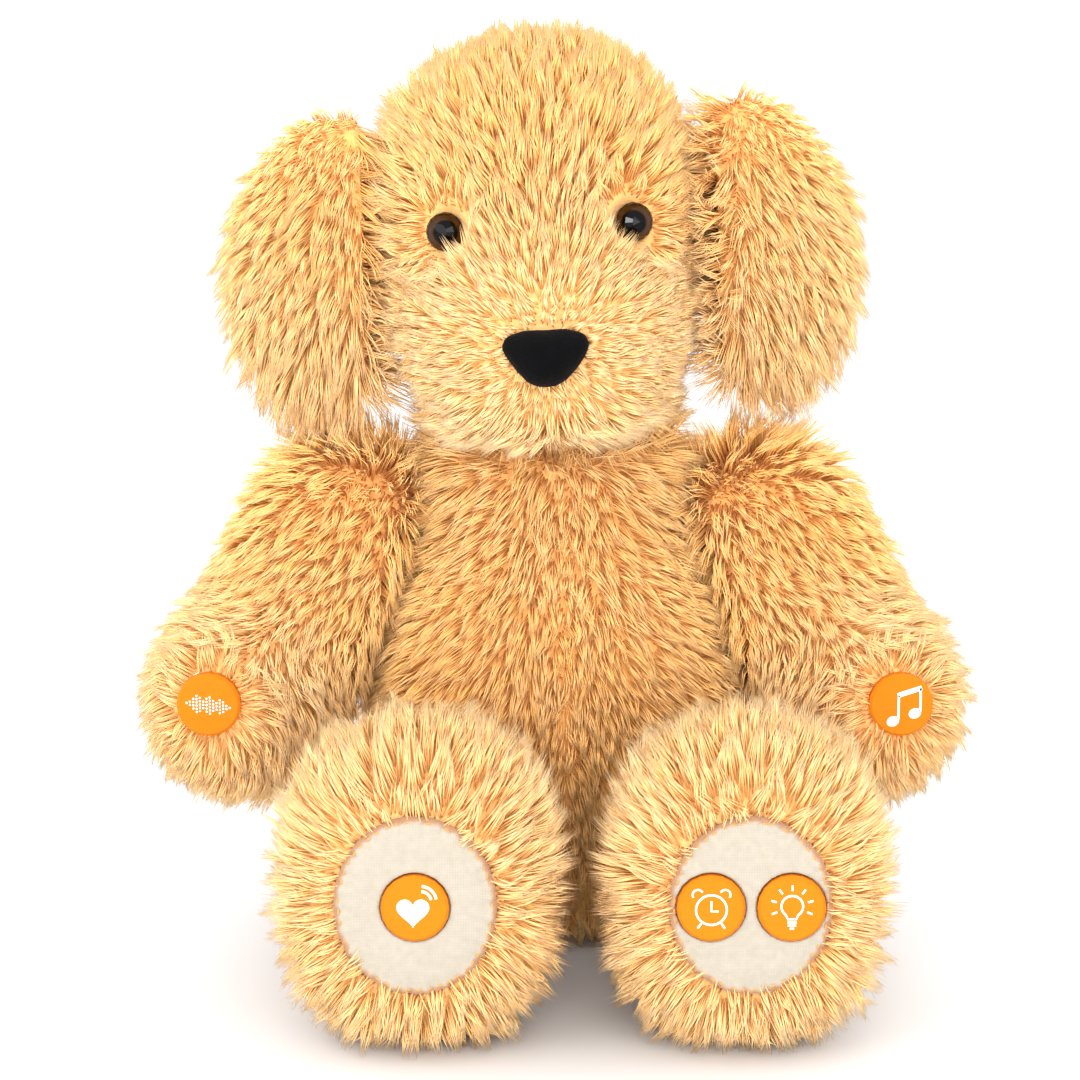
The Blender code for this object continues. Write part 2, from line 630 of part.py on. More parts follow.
def build_nose(place):
    """A rounded triangle, wide at the top, with a post and a washer behind."""
    shape = bmesh.new()
    bmesh.ops.create_uvsphere(shape, u_segments=16, v_segments=10, radius=1.0)
    for vert in shape.verts:
        x, y, z = vert.co
        width = 1.0 + 0.30 * y
        depth = z * NOSE_SIZE.z if z > 0 else z * NOSE_BACK
        squared = 1.0 - 0.10 * math.sin(2 * math.atan2(y, x)) ** 2
        vert.co = (x * NOSE_SIZE.x * width / squared, y * NOSE_SIZE.y / squared,
                   max(depth, -2.4 * MM) + 1.2 * MM)
    nose = finish_mesh("nose", shape)
    nose.transform(place)
    post = drum_mesh("nose_post", Vector((0, 0, -6.0 * MM)), 2.0 * MM, 11 * MM, axis=UP, sides=12)
    post.transform(place)
    stem = cutter("nose_stem", post, HEAD_PIVOT)
    item = part("nose", nose, NOSE_FLOCK, HEAD_PIVOT)
    join = item.modifiers.new("post", "BOOLEAN")
    join.operation = "UNION"
    join.object = stem
    washer = washer_mesh("nose_washer", 2.3 * MM, 5.8 * MM, -9.3 * MM, -10.7 * MM)
    washer.transform(place)
    part("nose_washer", washer, WHITE_PLASTIC, HEAD_PIVOT)


# ---- ears --------------------------------------------------------------------
def build_ear(side, sign):
    """A hanging flap of two padded panels, hinged where it is sewn to the head."""
    centre = NECK + mirrored(EAR_CENTRE, sign)
    root = NECK + mirrored(EAR_ROOT, sign)
    hinge = empty(f"{side}_ear_hinge", root, HEAD_PIVOT)
    broad = Vector((sign * math.cos(EAR_TURN), math.sin(EAR_TURN), 0))
    thin = Vector((-sign * math.sin(EAR_TURN), math.cos(EAR_TURN), 0))

    def shaped(spot):
        """Ellipsoid in the ear's own axes, narrowed and drawn in towards its root."""
        offset = spot - centre
        rise = offset.z / EAR_SIZE.z
        climb = max(rise, 0.0)
        narrow = 1.0 - EAR_NARROWING * climb ** 1.5
        inward = -EAR_DRAW_IN * climb ** 2
        return (centre + broad * (offset.x * EAR_SIZE.x / EAR_SIZE.z * narrow + inward)
                + thin * (offset.y * EAR_SIZE.y / EAR_SIZE.z * (1 - EAR_THINNING * climb))
                + UP * offset.z)

    head_gap = half_space(f"{side}_ear_head_cut", NECK + Vector((sign * EAR_GAP_X, 0, 0)),
                          Vector((-sign, 0, 0)), hinge)
    round_lump = [(centre, Vector((1, 1, 1)) * EAR_SIZE.z, 2.3)]
    for face, look in (("front", -1.0), ("back", 1.0)):
        name = f"{side}_ear_{face}_panel"
        form = soft_form(name, centre, round_lump, segments=16, rings=11, warp=shaped)
        if sign < 0:
            form.flip_normals()
        zone = half_space(name + "_zone", centre + thin * look * GAP / 2, thin * look, hinge)
        part(name, form, GOLD_FUR if face == "front" else PALE_FUR, hinge, keep=[zone],
             cut=[head_gap])


# ---- buttons: a disc on the outside, a switch case behind it ------------------
def build_button(name, switch_name, face_centre, radius, holder):
    """Returns the hole that the button and its switch need in what they sit in."""
    disc_middle = face_centre + Vector((0, BUTTON_THICK / 2, 0))
    slide = empty(name + "_slide", disc_middle, holder)
    disc = drum_mesh(name, disc_middle, radius, BUTTON_THICK)
    part(name, disc, PRINT, slide, bevel=0.8 * MM)
    case_start = BUTTON_THICK + BUTTON_TRAVEL + 0.5 * MM
    case = drum_mesh(switch_name, face_centre + Vector((0, case_start + SWITCH_DEPTH / 2, 0)),
                     radius - 0.3 * MM, SWITCH_DEPTH, sides=16)
    part(switch_name, case, WHITE_PLASTIC, holder, bevel=0.6 * MM)
    reach = 20 * MM
    depth = case_start + SWITCH_DEPTH + GAP
    hole_middle = face_centre + Vector((0, (depth - reach) / 2, 0))
    hole = drum_mesh(name + "_hole", hole_middle, radius + 0.45 * MM, depth + reach)
    return cutter(name + "_hole", hole, holder)


# ---- arms --------------------------------------------------------------------
def build_arm(side, sign):
    lean = Vector((LEAN * SHOULDER.z, 0, 0))
    shoulder = shoulder_point(sign)
    hand = mirrored(HAND, sign) + lean
    pivot = empty(f"{side}_shoulder_pivot", shoulder, ROOT)
    top = mirrored(ARM_TOP, sign) + lean
    middle = (top + hand) / 2
    along = (hand - top).normalized()
    lumps = [(top.lerp(hand, 0.16), Vector((1.1, 1.0, 1.08)) * ARM_RADIUS, 2.1),
             (middle, Vector((ARM_RADIUS * 1.22, ARM_RADIUS * 0.96, ARM_RADIUS * 1.34)), 2.0),
             (top.lerp(hand, 0.98), Vector((1.0, 0.96, 1.03)) * HAND_RADIUS, 2.15)]

    def arm_form(name, inset=0.0):
        return soft_form(name, middle, lumps, pole=along, segments=14, rings=11, inset=inset)

    seam = half_space(f"{side}_arm_seam", shoulder + shoulder_axis(sign) * GAP,
                      -shoulder_axis(sign), pivot)
    disc_place = mirrored(HAND_DISC, sign) + lean
    disc_place.y = front_of(disc_place, middle, lumps) + 1.2 * MM
    hole = build_button(f"{side}_hand_button", f"{side}_hand_switch", disc_place,
                        BUTTON_RADIUS, pivot)
    core = cutter(f"{side}_arm_core", arm_form(f"{side}_arm_core", PILE), pivot)
    split = top + Vector((0, 2 * MM, 0))
    across = Vector((-along.z * sign, 0, along.x * sign)).normalized()
    for face, look in (("outer", 1.0), ("inner", -1.0)):
        name = f"{side}_arm_{face}_panel"
        facing = (across * 0.5 + Vector((0, -0.87, 0))).normalized() * look
        zone = half_space(name + "_zone", split + facing * GAP / 2, facing, pivot)
        part(name, arm_form(name), GOLD_FUR, pivot, keep=[zone], cut=[core, seam, hole])
    part(f"{side}_arm_stuffing", arm_form(f"{side}_arm_stuffing", PILE + 3 * GAP), FIBRE,
         pivot, cut=[seam, hole])


def front_of(place, hub, lumps):
    """The y of the front of a form, straight ahead of a place in its front view."""
    near, far = 0.0, 0.2
    for _ in range(30):
        middle = (near + far) / 2
        spot = Vector((place.x, hub.y - middle, place.z))
        if blended_gauge(spot, lumps) < 1.0:
            near = middle
        else:
            far = middle
    return hub.y - near


# ---- legs --------------------------------------------------------------------
def build_leg(side, sign):
    hip = hip_point(sign)
    pivot = empty(f"{side}_hip_pivot", hip, ROOT)
    foot = mirrored(FOOT, sign)
    hub = Vector((sign * 45, -106, 42)) * MM
    lumps = [(foot, FOOT_SIZE, 2.5), thigh_lump(sign)]

    def leg_form(name, inset=0.0):
        return soft_form(name, hub, lumps, pole=FACING, segments=16, rings=11, inset=inset,
                         floor=0.0)

    sole_middle = Vector((foot.x, SOLE_FRONT, foot.z))
    opening = drum_mesh("sole_opening", Vector(), SOLE_SIZE.x + GAP * 2, 60 * MM, sides=24)
    opening.transform(Matrix.Translation(sole_middle - Vector((0, 18, 0)) * MM)
                      @ Matrix.Diagonal((1, 1, SOLE_SIZE.y / SOLE_SIZE.x, 1)))
    opening = cutter(f"{side}_sole_opening", opening, pivot)
    holes = []
    for name, shift in SOLE_BUTTONS[side]:
        face = sole_middle + Vector((shift, -SOLE_BUTTON_PROUD, 0))
        holes.append(build_button(name + "_button", name + "_switch", face,
                                  SOLE_BUTTON_RADIUS, pivot))
    pad = drum_mesh(f"{side}_sole_pad", Vector((0, SOLE_THICK / 2, 0)), SOLE_SIZE.x, SOLE_THICK,
                    sides=24)
    pad.transform(Matrix.Translation(sole_middle)
                  @ Matrix.Diagonal((1, 1, SOLE_SIZE.y / SOLE_SIZE.x, 1)))
    part(f"{side}_sole_pad", pad, LINEN, pivot, cut=holes)

    core = cutter(f"{side}_leg_core", leg_form(f"{side}_leg_core", PILE), pivot)
    for face, look in (("upper", 1.0), ("lower", -1.0)):
        name = f"{side}_leg_{face}_panel"
        seam = foot - UP * 14 * MM
        zone = half_space(name + "_zone", seam + UP * look * GAP / 2, UP * look, pivot)
        part(name, leg_form(name), PALE_FUR, pivot, keep=[zone], cut=[core, opening])
    behind = half_space(f"{side}_stuffing_front", Vector((0, SOLE_FRONT + SOLE_THICK + GAP, 0)),
                        FACING, pivot)
    part(f"{side}_leg_stuffing", leg_form(f"{side}_leg_stuffing", PILE + 3 * GAP), FIBRE,
         pivot, cut=[behind] + holes)


# ---- tail --------------------------------------------------------------------
def build_tail():
    """A short stuffed tail on the back seam, just above the seat."""
    pivot = empty("tail_pivot", TAIL_ROOT, ROOT)
    form = soft_form("tail", TAIL_CENTRE, [(TAIL_CENTRE, TAIL_SIZE, 2.1)],
                     pole=Vector((0, 1, 0)), segments=14, rings=9)
    trim = half_space("tail_cut", TAIL_ROOT + Vector((0, 1.5, 0)) * MM, FACING, pivot)
    part("tail", form, GOLD_FUR, pivot, cut=[trim])


build_torso()
build_closure()
build_sound_box()
build_neck()
build_head()
for side_name, side_sign in SIDES:
    build_ear(side_name, side_sign)
    build_arm(side_name, side_sign)
    build_leg(side_name, side_sign)
build_tail()
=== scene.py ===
# %% [markdown]
# # A plush puppy, from its sewn skins to its last lock of fur
#
# The puppy is a stuffed toy: long golden pile fabric sewn into skins, filled with fibre, with printed push
# buttons in its hands and soles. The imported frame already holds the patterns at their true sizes, so this lesson
# only dresses them. Everything is in metres and stands where the frame says.

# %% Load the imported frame
import json
import math
import bmesh
import bpy
import numpy as np
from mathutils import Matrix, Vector
from mathutils.bvhtree import BVHTree

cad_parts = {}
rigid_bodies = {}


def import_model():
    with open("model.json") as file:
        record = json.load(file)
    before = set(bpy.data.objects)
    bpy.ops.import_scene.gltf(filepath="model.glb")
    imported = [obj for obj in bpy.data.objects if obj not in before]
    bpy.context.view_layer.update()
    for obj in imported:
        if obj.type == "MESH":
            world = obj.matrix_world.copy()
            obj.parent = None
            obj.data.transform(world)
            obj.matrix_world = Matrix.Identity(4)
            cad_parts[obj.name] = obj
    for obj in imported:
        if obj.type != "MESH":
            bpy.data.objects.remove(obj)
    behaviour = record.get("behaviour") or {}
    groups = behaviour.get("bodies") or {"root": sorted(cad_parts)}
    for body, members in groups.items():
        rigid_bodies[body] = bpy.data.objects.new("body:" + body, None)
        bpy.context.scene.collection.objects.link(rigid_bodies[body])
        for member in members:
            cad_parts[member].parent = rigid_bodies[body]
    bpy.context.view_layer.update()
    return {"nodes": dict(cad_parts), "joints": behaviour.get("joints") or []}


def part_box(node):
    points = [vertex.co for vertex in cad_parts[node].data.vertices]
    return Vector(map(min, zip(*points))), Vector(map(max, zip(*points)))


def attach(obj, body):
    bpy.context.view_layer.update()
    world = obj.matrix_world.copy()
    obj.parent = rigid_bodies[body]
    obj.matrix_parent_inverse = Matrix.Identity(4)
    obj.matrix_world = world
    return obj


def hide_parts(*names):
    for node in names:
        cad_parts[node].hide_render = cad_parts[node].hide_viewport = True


for leftover in list(bpy.data.objects):
    bpy.data.objects.remove(leftover)
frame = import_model()

MM = 0.001

# %% [markdown]
# ## The table, the light and the camera
#
# A toy like this is shown on a white table in a white room, so the light comes from everywhere and shadows stay
# faint. A uniform white world does that alone; three soft panels add the gentle shape that fur needs, and a small
# one puts a catch light in each eye. A curved paper sweep would also work, but it would stand in the way of a
# camera that walks round the toy.


# %% White table, white room and soft panels
TABLE_GREY = (0.72, 0.72, 0.72, 1)
ROOM_LIGHT = 1.5
MIDDLE = Vector((0, 0, 0.14))


def make_table(size=60.0):
    half = size / 2
    mesh = bpy.data.meshes.new("table")
    corners = [(-half, -half, 0), (half, -half, 0), (half, half, 0), (-half, half, 0)]
    mesh.from_pydata(corners, [], [(0, 1, 2, 3)])
    table = bpy.data.objects.new("table", mesh)
    bpy.context.scene.collection.objects.link(table)
    paint = bpy.data.materials.new("white table")
    paint.use_nodes = True
    shader = paint.node_tree.nodes["Principled BSDF"]
    shader.inputs["Base Color"].default_value = TABLE_GREY
    shader.inputs["Roughness"].default_value = 0.9
    mesh.materials.append(paint)
    return table


def soft_panel(name, place, aim, size, watts):
    lamp = bpy.data.lights.new(name, "AREA")
    lamp.shape = "SQUARE"
    lamp.size = size
    lamp.energy = watts
    holder = bpy.data.objects.new(name, lamp)
    bpy.context.scene.collection.objects.link(holder)
    holder.location = place
    holder.rotation_euler = (Vector(aim) - Vector(place)).to_track_quat("-Z", "Y").to_euler()
    return holder


make_table()
room = bpy.data.worlds.new("white room")
room.use_nodes = True
room.node_tree.nodes["Background"].inputs["Color"].default_value = (1, 1, 1, 1)
room.node_tree.nodes["Background"].inputs["Strength"].default_value = ROOM_LIGHT
bpy.context.scene.world = room
bpy.context.scene.view_settings.view_transform = "Standard"
soft_panel("key panel", (-1.1, -1.1, 0.5), MIDDLE, 1.0, 10.0)
soft_panel("front panel", (0.3, -1.7, 0.35), MIDDLE, 1.4, 34.0)
soft_panel("back panel", (0.2, 1.2, 1.1), MIDDLE, 1.0, 6.0)
soft_panel("catch light", (-0.35, -1.5, 0.55), (0, -0.04, 0.24), 0.16, 2.5)
print("table, room and panels ready")

# %% A long lens at the height of the puppy's chest
LENS = 88.75 * MM
SENSOR = 36
CAMERA_RISE = math.radians(9.85)
CAMERA_REACH = 0.900
CAMERA_AIM = Vector((-0.0047, 0.0275, 0.1283))


def place_camera():
    eye = bpy.data.cameras.new("camera")
    eye.lens = LENS / MM
    eye.sensor_width = SENSOR
    holder = bpy.data.objects.new("camera", eye)
    bpy.context.scene.collection.objects.link(holder)
    back = Vector((0, -math.cos(CAMERA_RISE), math.sin(CAMERA_RISE)))
    holder.location = CAMERA_AIM + back * CAMERA_REACH
    holder.rotation_euler = (-back).to_track_quat("-Z", "Y").to_euler()
    bpy.context.scene.camera = holder
    return holder


place_camera()
print("camera at", [round(c, 3) for c in bpy.context.scene.camera.location])

# %% [markdown]
# ## Working with whole meshes as arrays
#
# Fur is thousands of small things, so most steps below read a mesh's points into one array, change them all
# together and write them back. Editing points one at a time would be slower and no clearer.


# %% Small helpers for meshes
def points_of(mesh):
    found = np.empty(len(mesh.vertices) * 3, np.float64)
    mesh.vertices.foreach_get("co", found)
    return found.reshape(-1, 3)


def normals_of(mesh):
    found = np.empty(len(mesh.vertices) * 3, np.float32)
    mesh.vertices.foreach_get("normal", found)
    return found.reshape(-1, 3).astype(np.float64)


def move_points(mesh, places):
    mesh.vertices.foreach_set("co", np.asarray(places, np.float64).ravel())
    mesh.update()


def unit(rows):
    rows = np.asarray(rows, np.float64)
    return rows / np.maximum(np.linalg.norm(rows, axis=-1, keepdims=True), 1e-12)


def ramp(values, start, end):
    """0 below start, 1 above end and a soft step between them."""
    share = np.clip((np.asarray(values, np.float64) - start) / (end - start), 0, 1)
    return share * share * (3 - 2 * share)


def waves(places, size, seed=0.0):
    """A cheap smooth noise from -1 to 1, whose bumps are about as wide as size."""
    x, y, z = (np.asarray(places) / size).T
    first = np.sin(x * 2.1 + seed) * np.cos(y * 1.7 - seed)
    second = np.sin(y * 2.9 + z * 1.3 + seed * 2) * np.cos(z * 2.3 - x * 0.7)
    return (first + second + np.sin(z * 1.9 + x * 1.1 + seed * 3)) / 3


def add_piece(name, mesh):
    piece = bpy.data.objects.new(name, mesh)
    bpy.context.scene.collection.objects.link(piece)
    return piece


def settle(piece):
    """Turns what a piece's modifiers make into its own plain mesh."""
    seen = piece.evaluated_get(bpy.context.evaluated_depsgraph_get())
    mesh = bpy.data.meshes.new_from_object(seen)
    piece.modifiers.clear()
    piece.data = mesh
    return mesh


def centre_of(node):
    low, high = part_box(node)
    return np.array((low + high) / 2)


# %% [markdown]
# ## Dye colours
#
# Dyers speak of a shade card, so colours below are written as red, green and blue from 0 to 255 and turned into
# the linear values that shaders add and multiply.


# %% Shades and plain material parts
def shade(red, green, blue):
    def linear(value):
        value /= 255
        return value / 12.92 if value <= 0.04045 else ((value + 0.055) / 1.055) ** 2.4
    return (linear(red), linear(green), linear(blue), 1.0)


def new_material(name, roughness, sheen=0.0, specular=0.5, metallic=0.0):
    """A material and its tree."""
    material = bpy.data.materials.new(name)
    material.use_nodes = True
    shader = material.node_tree.nodes["Principled BSDF"]
    shader.inputs["Roughness"].default_value = roughness
    shader.inputs["Sheen Weight"].default_value = sheen
    shader.inputs["Specular IOR Level"].default_value = specular
    shader.inputs["Metallic"].default_value = metallic
    return material, material.node_tree


def node(tree, kind, settings=(), **inputs):
    """Adds a node; settings are its properties, and inputs its sockets' values by name or number."""
    made = tree.nodes.new(kind)
    for key, value in dict(settings).items():
        setattr(made, key, value)
    for key, value in inputs.items():
        spot = int(key[1:]) if key[0] == "_" else key.replace("_", " ")
        if isinstance(value, bpy.types.NodeSocket):
            tree.links.new(value, made.inputs[spot])
        else:
            made.inputs[spot].default_value = value
    return made


def mixed(tree, share, first, second):
    """A colour between first and second."""
    made = node(tree, "ShaderNodeMix", {"data_type": "RGBA"}, _0=share, _6=first, _7=second)
    return made.outputs[2]


def maths(tree, work, first, second=0.0, third=0.0):
    return node(tree, "ShaderNodeMath", {"operation": work}, _0=first, _1=second, _2=third).outputs[0]


def times(tree, first, second):
    return maths(tree, "MULTIPLY", first, second)


def plus(tree, first, second):
    return maths(tree, "ADD", first, second)


def softly(tree, value, low, high):
    """0 below low, 1 above high and a soft step between them."""
    made = node(tree, "ShaderNodeMapRange", {"interpolation_type": "SMOOTHSTEP"}, Value=value,
                From_Min=low, From_Max=high)
    return made.outputs[0]


def split(tree, vector):
    return node(tree, "ShaderNodeSeparateXYZ", Vector=vector).outputs


def joined(tree, x=0.0, y=0.0, z=0.0):
    return node(tree, "ShaderNodeCombineXYZ", _0=x, _1=y, _2=z).outputs[0]


def vector_work(tree, work, first, second=(0, 0, 0)):
    return node(tree, "ShaderNodeVectorMath", {"operation": work}, _0=first, _1=second).outputs[0]


def scaled(tree, vector, scale):
    return node(tree, "ShaderNodeVectorMath", {"operation": "SCALE"}, _0=vector, Scale=scale).outputs[0]


def size_of(tree, vector):
    return node(tree, "ShaderNodeVectorMath", {"operation": "LENGTH"}, _0=vector).outputs["Value"]


def own_place(tree):
    """A point's place in its own piece."""
    return node(tree, "ShaderNodeTexCoord").outputs["Object"]


def noise(tree, where, scale, detail=2.0):
    return node(tree, "ShaderNodeTexNoise", Vector=where, Scale=scale, Detail=detail).outputs["Fac"]


def painted(tree, name):
    """What a named attribute holds, in a material."""
    return node(tree, "ShaderNodeAttribute", {"attribute_name": name}).outputs["Fac"]


def wear(material, colour, height=None, depth=0.2 * MM, strength=0.6):
    """Feeds the material's own shader."""
    tree = material.node_tree
    shader = tree.nodes["Principled BSDF"]
    tree.links.new(colour, shader.inputs["Base Color"])
    if height is not None:
        bump = node(tree, "ShaderNodeBump", Strength=strength, Distance=depth, Height=height)
        tree.links.new(bump.outputs[0], shader.inputs["Normal"])


# %% [markdown]
# ## The golden pile's colour
#
# Each fibre has painted shade at its root, where the strands shade each other, and grows lighter towards its tip,
# and the dye runs from a deep amber on the belly to pale cream on the paws and muzzle. Every strand carries those
# two facts in its own map: across the map is the way along the strand, and up the map is how pale it is. One
# material then colours the whole puppy, painted root shade and dye alike, and bakes small.


# %% Fur material
STRAND_MAP = "OFBake"
# DEEP_ROOT and PALE_ROOT hold painted shade: each strand is darker at its root, where the strands shade each other.
DEEP_ROOT = shade(252, 187, 100)
DEEP_TIP = shade(255, 204, 122)
PALE_ROOT = shade(255, 208, 134)
PALE_TIP = shade(253, 222, 174)
ROOT_SHADE_FADES_BY = 0.85


def make_fur_material():
    material, tree = new_material("golden pile", 0.7, sheen=0.04, specular=0.2)
    along, paleness, _ = split(tree, node(tree, "ShaderNodeUVMap", {"uv_map": STRAND_MAP}).outputs[0])
    # Painted shade at the root of each strand, fading out to the tip colour along it.
    past_root_shade = softly(tree, along, 0.0, ROOT_SHADE_FADES_BY)
    deep = mixed(tree, past_root_shade, DEEP_ROOT, DEEP_TIP)
    pale = mixed(tree, past_root_shade, PALE_ROOT, PALE_TIP)
    wear(material, mixed(tree, paleness, deep, pale))
    return material


def make_ground_material():
    """The knitted ground that the pile grows from, with painted shade: darker than the roots, for the shaded gaps
    between strands where it shows.
    """
    material, tree = new_material("pile ground painted shade", 0.9, sheen=0.2)
    tone = painted(tree, "tone")
    streaks = noise(tree, own_place(tree), 900.0, 3.0)
    # Painted shade: both shades are darker than the fur's roots, because the ground shows only in the shaded gaps
    # between strands.
    base = mixed(tree, tone, shade(236, 176, 100), shade(240, 194, 130))
    dark = mixed(tree, tone, shade(222, 156, 80), shade(228, 174, 106))
    wear(material, mixed(tree, streaks, dark, base), height=streaks, depth=0.6 * MM, strength=0.8)
    return material


golden_pile = make_fur_material()
shaded_pile_ground = make_ground_material()
print("fur materials:", golden_pile.name, "and", shaded_pile_ground.name)

# %% [markdown]
# ## Sewn skins, stuffed until they are tight
#
# A skin is the knitted ground of the fabric, sewn to shape and blown up by its filling. The frame's panels give
# its outside with the fur on, so a skin starts as all the panels of one body in one lump, remade in even squares
# and drawn in by the height of the fur. A short cloth run with pressure inside then rounds it like real stuffing.


# %% Draw a closed skin round a body's panels
def lump_of(name, nodes):
    gathered = bmesh.new()
    for each in nodes:
        gathered.from_mesh(frame["nodes"][each].data)
    bmesh.ops.remove_doubles(gathered, verts=gathered.verts, dist=1e-6)
    mesh = bpy.data.meshes.new(name)
    gathered.to_mesh(mesh)
    gathered.free()
    return add_piece(name, mesh)


def keep_largest_island(mesh):
    work = bmesh.new()
    work.from_mesh(mesh)
    work.verts.ensure_lookup_table()
    seen, islands = set(), []
    for start in work.verts:
        if start.index in seen:
            continue
        seen.add(start.index)
        island, queue = [start], [start]
        while queue:
            for edge in queue.pop().link_edges:
                for vert in edge.verts:
                    if vert.index not in seen:
                        seen.add(vert.index)
                        island.append(vert)
                        queue.append(vert)
        islands.append(island)
    islands.sort(key=len)
    loose = [vert for island in islands[:-1] for vert in island]
    bmesh.ops.delete(work, geom=loose, context="VERTS")
    work.to_mesh(mesh)
    work.free()


def even_out(piece, voxel, rounds):
    remake = piece.modifiers.new("even squares", "REMESH")
    remake.mode = "VOXEL"
    remake.voxel_size = voxel
    settle(piece)
    keep_largest_island(piece.data)
    relax = piece.modifiers.new("relax", "SMOOTH")
    relax.factor = 0.5
    relax.iterations = rounds
    settle(piece)


def stuff(piece, pressure=4.0, cap=2.0 * MM, frames=20):
    """Blows the skin up as cloth, from the inside, and never lets a point move further than cap."""
    before = points_of(piece.data)
    cloth = piece.modifiers.new("stuffing", "CLOTH")
    cloth.settings.effector_weights.gravity = 0
    cloth.settings.use_pressure = True
    cloth.settings.uniform_pressure_force = pressure
    cloth.settings.quality = 4
    cloth.point_cache.frame_end = frames
    for step in range(1, frames + 1):
        bpy.context.scene.frame_set(step)
    settle(piece)
    bpy.context.scene.frame_set(1)
    moved = points_of(piece.data) - before
    far = np.linalg.norm(moved, axis=1, keepdims=True)
    move_points(piece.data, before + moved * np.minimum(1, cap / np.maximum(far, 1e-9)))


def draw_in(piece, depth):
    """Moves every point inwards along its normal by its own depth."""
    mesh = piece.data
    places = points_of(mesh)
    move_points(mesh, places - normals_of(mesh) * np.asarray(depth)[:, None])


# %% [markdown]
# ## How the fur lies
#
# Before any strand grows, the skin is given four facts at each point: which way the fur is brushed, how long it
# is, how thick it stands and how pale it is. Sewing patterns fix the brushing: it runs away from the nose on the
# head, down the body, out to the hands and away from the soles. Painting these by hand would take days.

# %% Landmarks on the puppy
SIDES = ("left", "right")
NOSE = centre_of("nose")
EYES = [centre_of("left_eye"), centre_of("right_eye")]
NECK = centre_of("neck_stuffing")
HANDS = {side: centre_of(side + "_hand_button") for side in SIDES}
SOLES = {side: centre_of(side + "_sole_pad") for side in SIDES}
PLACES = {joint["name"]: np.array(joint["pos_m"]) for joint in frame["joints"] if "pos_m" in joint}
print("nose at", np.round(NOSE / MM, 1), "mm, joints:", len(PLACES))


# %% Rules for brushing, length, cover and paleness
SEAM_X = 3.0 * MM


def flat_on(normals, directions):
    """The part of each direction that lies in the surface."""
    directions = unit(directions)
    return unit(directions - normals * np.sum(directions * normals, axis=1, keepdims=True))


def near(places, spot, radius, softness=2.0 * MM):
    """1 inside radius of the spot, 0 outside it."""
    return 1 - ramp(np.linalg.norm(places - spot, axis=1), radius - softness, radius + softness)


def brush_head(places, normals):
    """Away from the bridge of the nose and from each eye; long over the temples and under the chin."""
    x, y, z = places.T
    bridge = NOSE + np.array((0, 16, 2)) * MM
    front = ramp(-y, -5 * MM, 45 * MM) * (1 - ramp(z, NOSE[2] + 10 * MM, NOSE[2] + 60 * MM))
    under = 1 - ramp(z, NECK[2] - 6 * MM, NECK[2] + 22 * MM)
    temple = ramp(np.abs(x - NECK[0]), 40 * MM, 50 * MM)
    crown = ramp(z, 235 * MM, 290 * MM) * ramp(y, -30 * MM, 30 * MM)
    comb = flat_on(normals, places - bridge)
    length = 14.0 - 4.5 * front + 5.0 * under - 3.0 * near(places, NOSE, 20 * MM, 8 * MM)
    length += 3.0 * temple * ramp(z, NECK[2] + 60 * MM, NECK[2] + 90 * MM)
    cover = 1 - near(places, NOSE + np.array((0, 3, 1)) * MM, 9.5 * MM)
    for eye in EYES:
        close = near(places, eye, 17 * MM, 4 * MM)[:, None]
        comb = flat_on(normals, comb * (1 - close) + unit(places - eye) * close)
        length -= 5.0 * near(places, eye, 13 * MM, 5 * MM)
        over = 1 - ramp(np.hypot(x - eye[0], z - eye[2]), 6.9 * MM, 7.9 * MM)
        cover *= 1 - over * (y < eye[1] + 20 * MM)
    cover *= 1 - near(places, NECK, 24 * MM)
    pale = 0.32 + 0.52 * front - 0.15 * crown
    return comb * (1 - 0.6 * temple)[:, None], length * MM, cover, pale


def brush_torso(places, normals):
    """Down and away from the front seam, and outwards where collar and shoulders begin."""
    x, y, z = places.T
    off = x - SEAM_X
    high = ramp(z, 100 * MM, 150 * MM)
    side = ramp(np.abs(x - NECK[0]), 34 * MM, 48 * MM) * high
    rim = ramp(z, NECK[2] - 20 * MM, NECK[2] - 6 * MM)
    spread = off / (50 * MM) * (1 + 1.2 * high) * ramp(np.abs(off), 2 * MM, 20 * MM)
    down = np.column_stack((spread, np.zeros_like(x), np.full_like(x, -1.0)))
    outward = places - NECK
    outward[:, 2] = 50 * MM
    comb = flat_on(normals, down * (1 - rim)[:, None] + unit(outward) * rim[:, None])
    seam = (1 - ramp(np.abs(off), 1 * MM, 5 * MM)) * ramp(-y, -20 * MM, 0)
    length = 13.0 * (1 - 0.35 * seam) + 7.0 * np.maximum(0.7 * side, rim)
    pale = 0.3 + 0.1 * ramp(z, 100 * MM, 170 * MM)
    return comb * (1 - 0.5 * np.maximum(side, rim))[:, None], length * MM, 1 - near(places, NECK, 22 * MM), pale


def brush_neck(places, normals):
    """Long and nearly upright, to close the gap between head and collar."""
    away = places - NECK
    away[:, 2] = -22 * MM
    every = np.ones(len(places))
    return flat_on(normals, away) * 0.3, 21.0 * MM * every, every, 0.25 * every


def brush_ear(side):
    """Away from the root, folding in towards the head; short on top and long at the tip."""
    root = PLACES[side + "_ear_lift"] + np.array((0, 0, 6)) * MM

    def brush(places, normals):
        x, _, z = places.T
        inner = 1 - ramp(np.abs(x - NECK[0]), 55 * MM, 62 * MM)
        away = places - root
        away[:, 2] -= 20 * MM
        fold = np.column_stack((NECK[0] - x, np.full_like(x, -30 * MM), np.zeros_like(x)))
        comb = flat_on(normals, unit(away) * (1 - inner)[:, None] + unit(fold) * inner[:, None])
        top = ramp(z, root[2] - 34 * MM, root[2] - 14 * MM) * (1 - inner)
        tip = 1 - ramp(z, root[2] - 88 * MM, root[2] - 62 * MM)
        length = 13.0 + 5.0 * inner - 6.0 * top + 5.0 * tip
        pale = 0.35 + 0.35 * ramp(np.linalg.norm(places - root, axis=1), 40 * MM, 100 * MM)
        return comb * (1 - 0.4 * inner)[:, None], length * MM, np.ones(len(places)), pale
    return brush


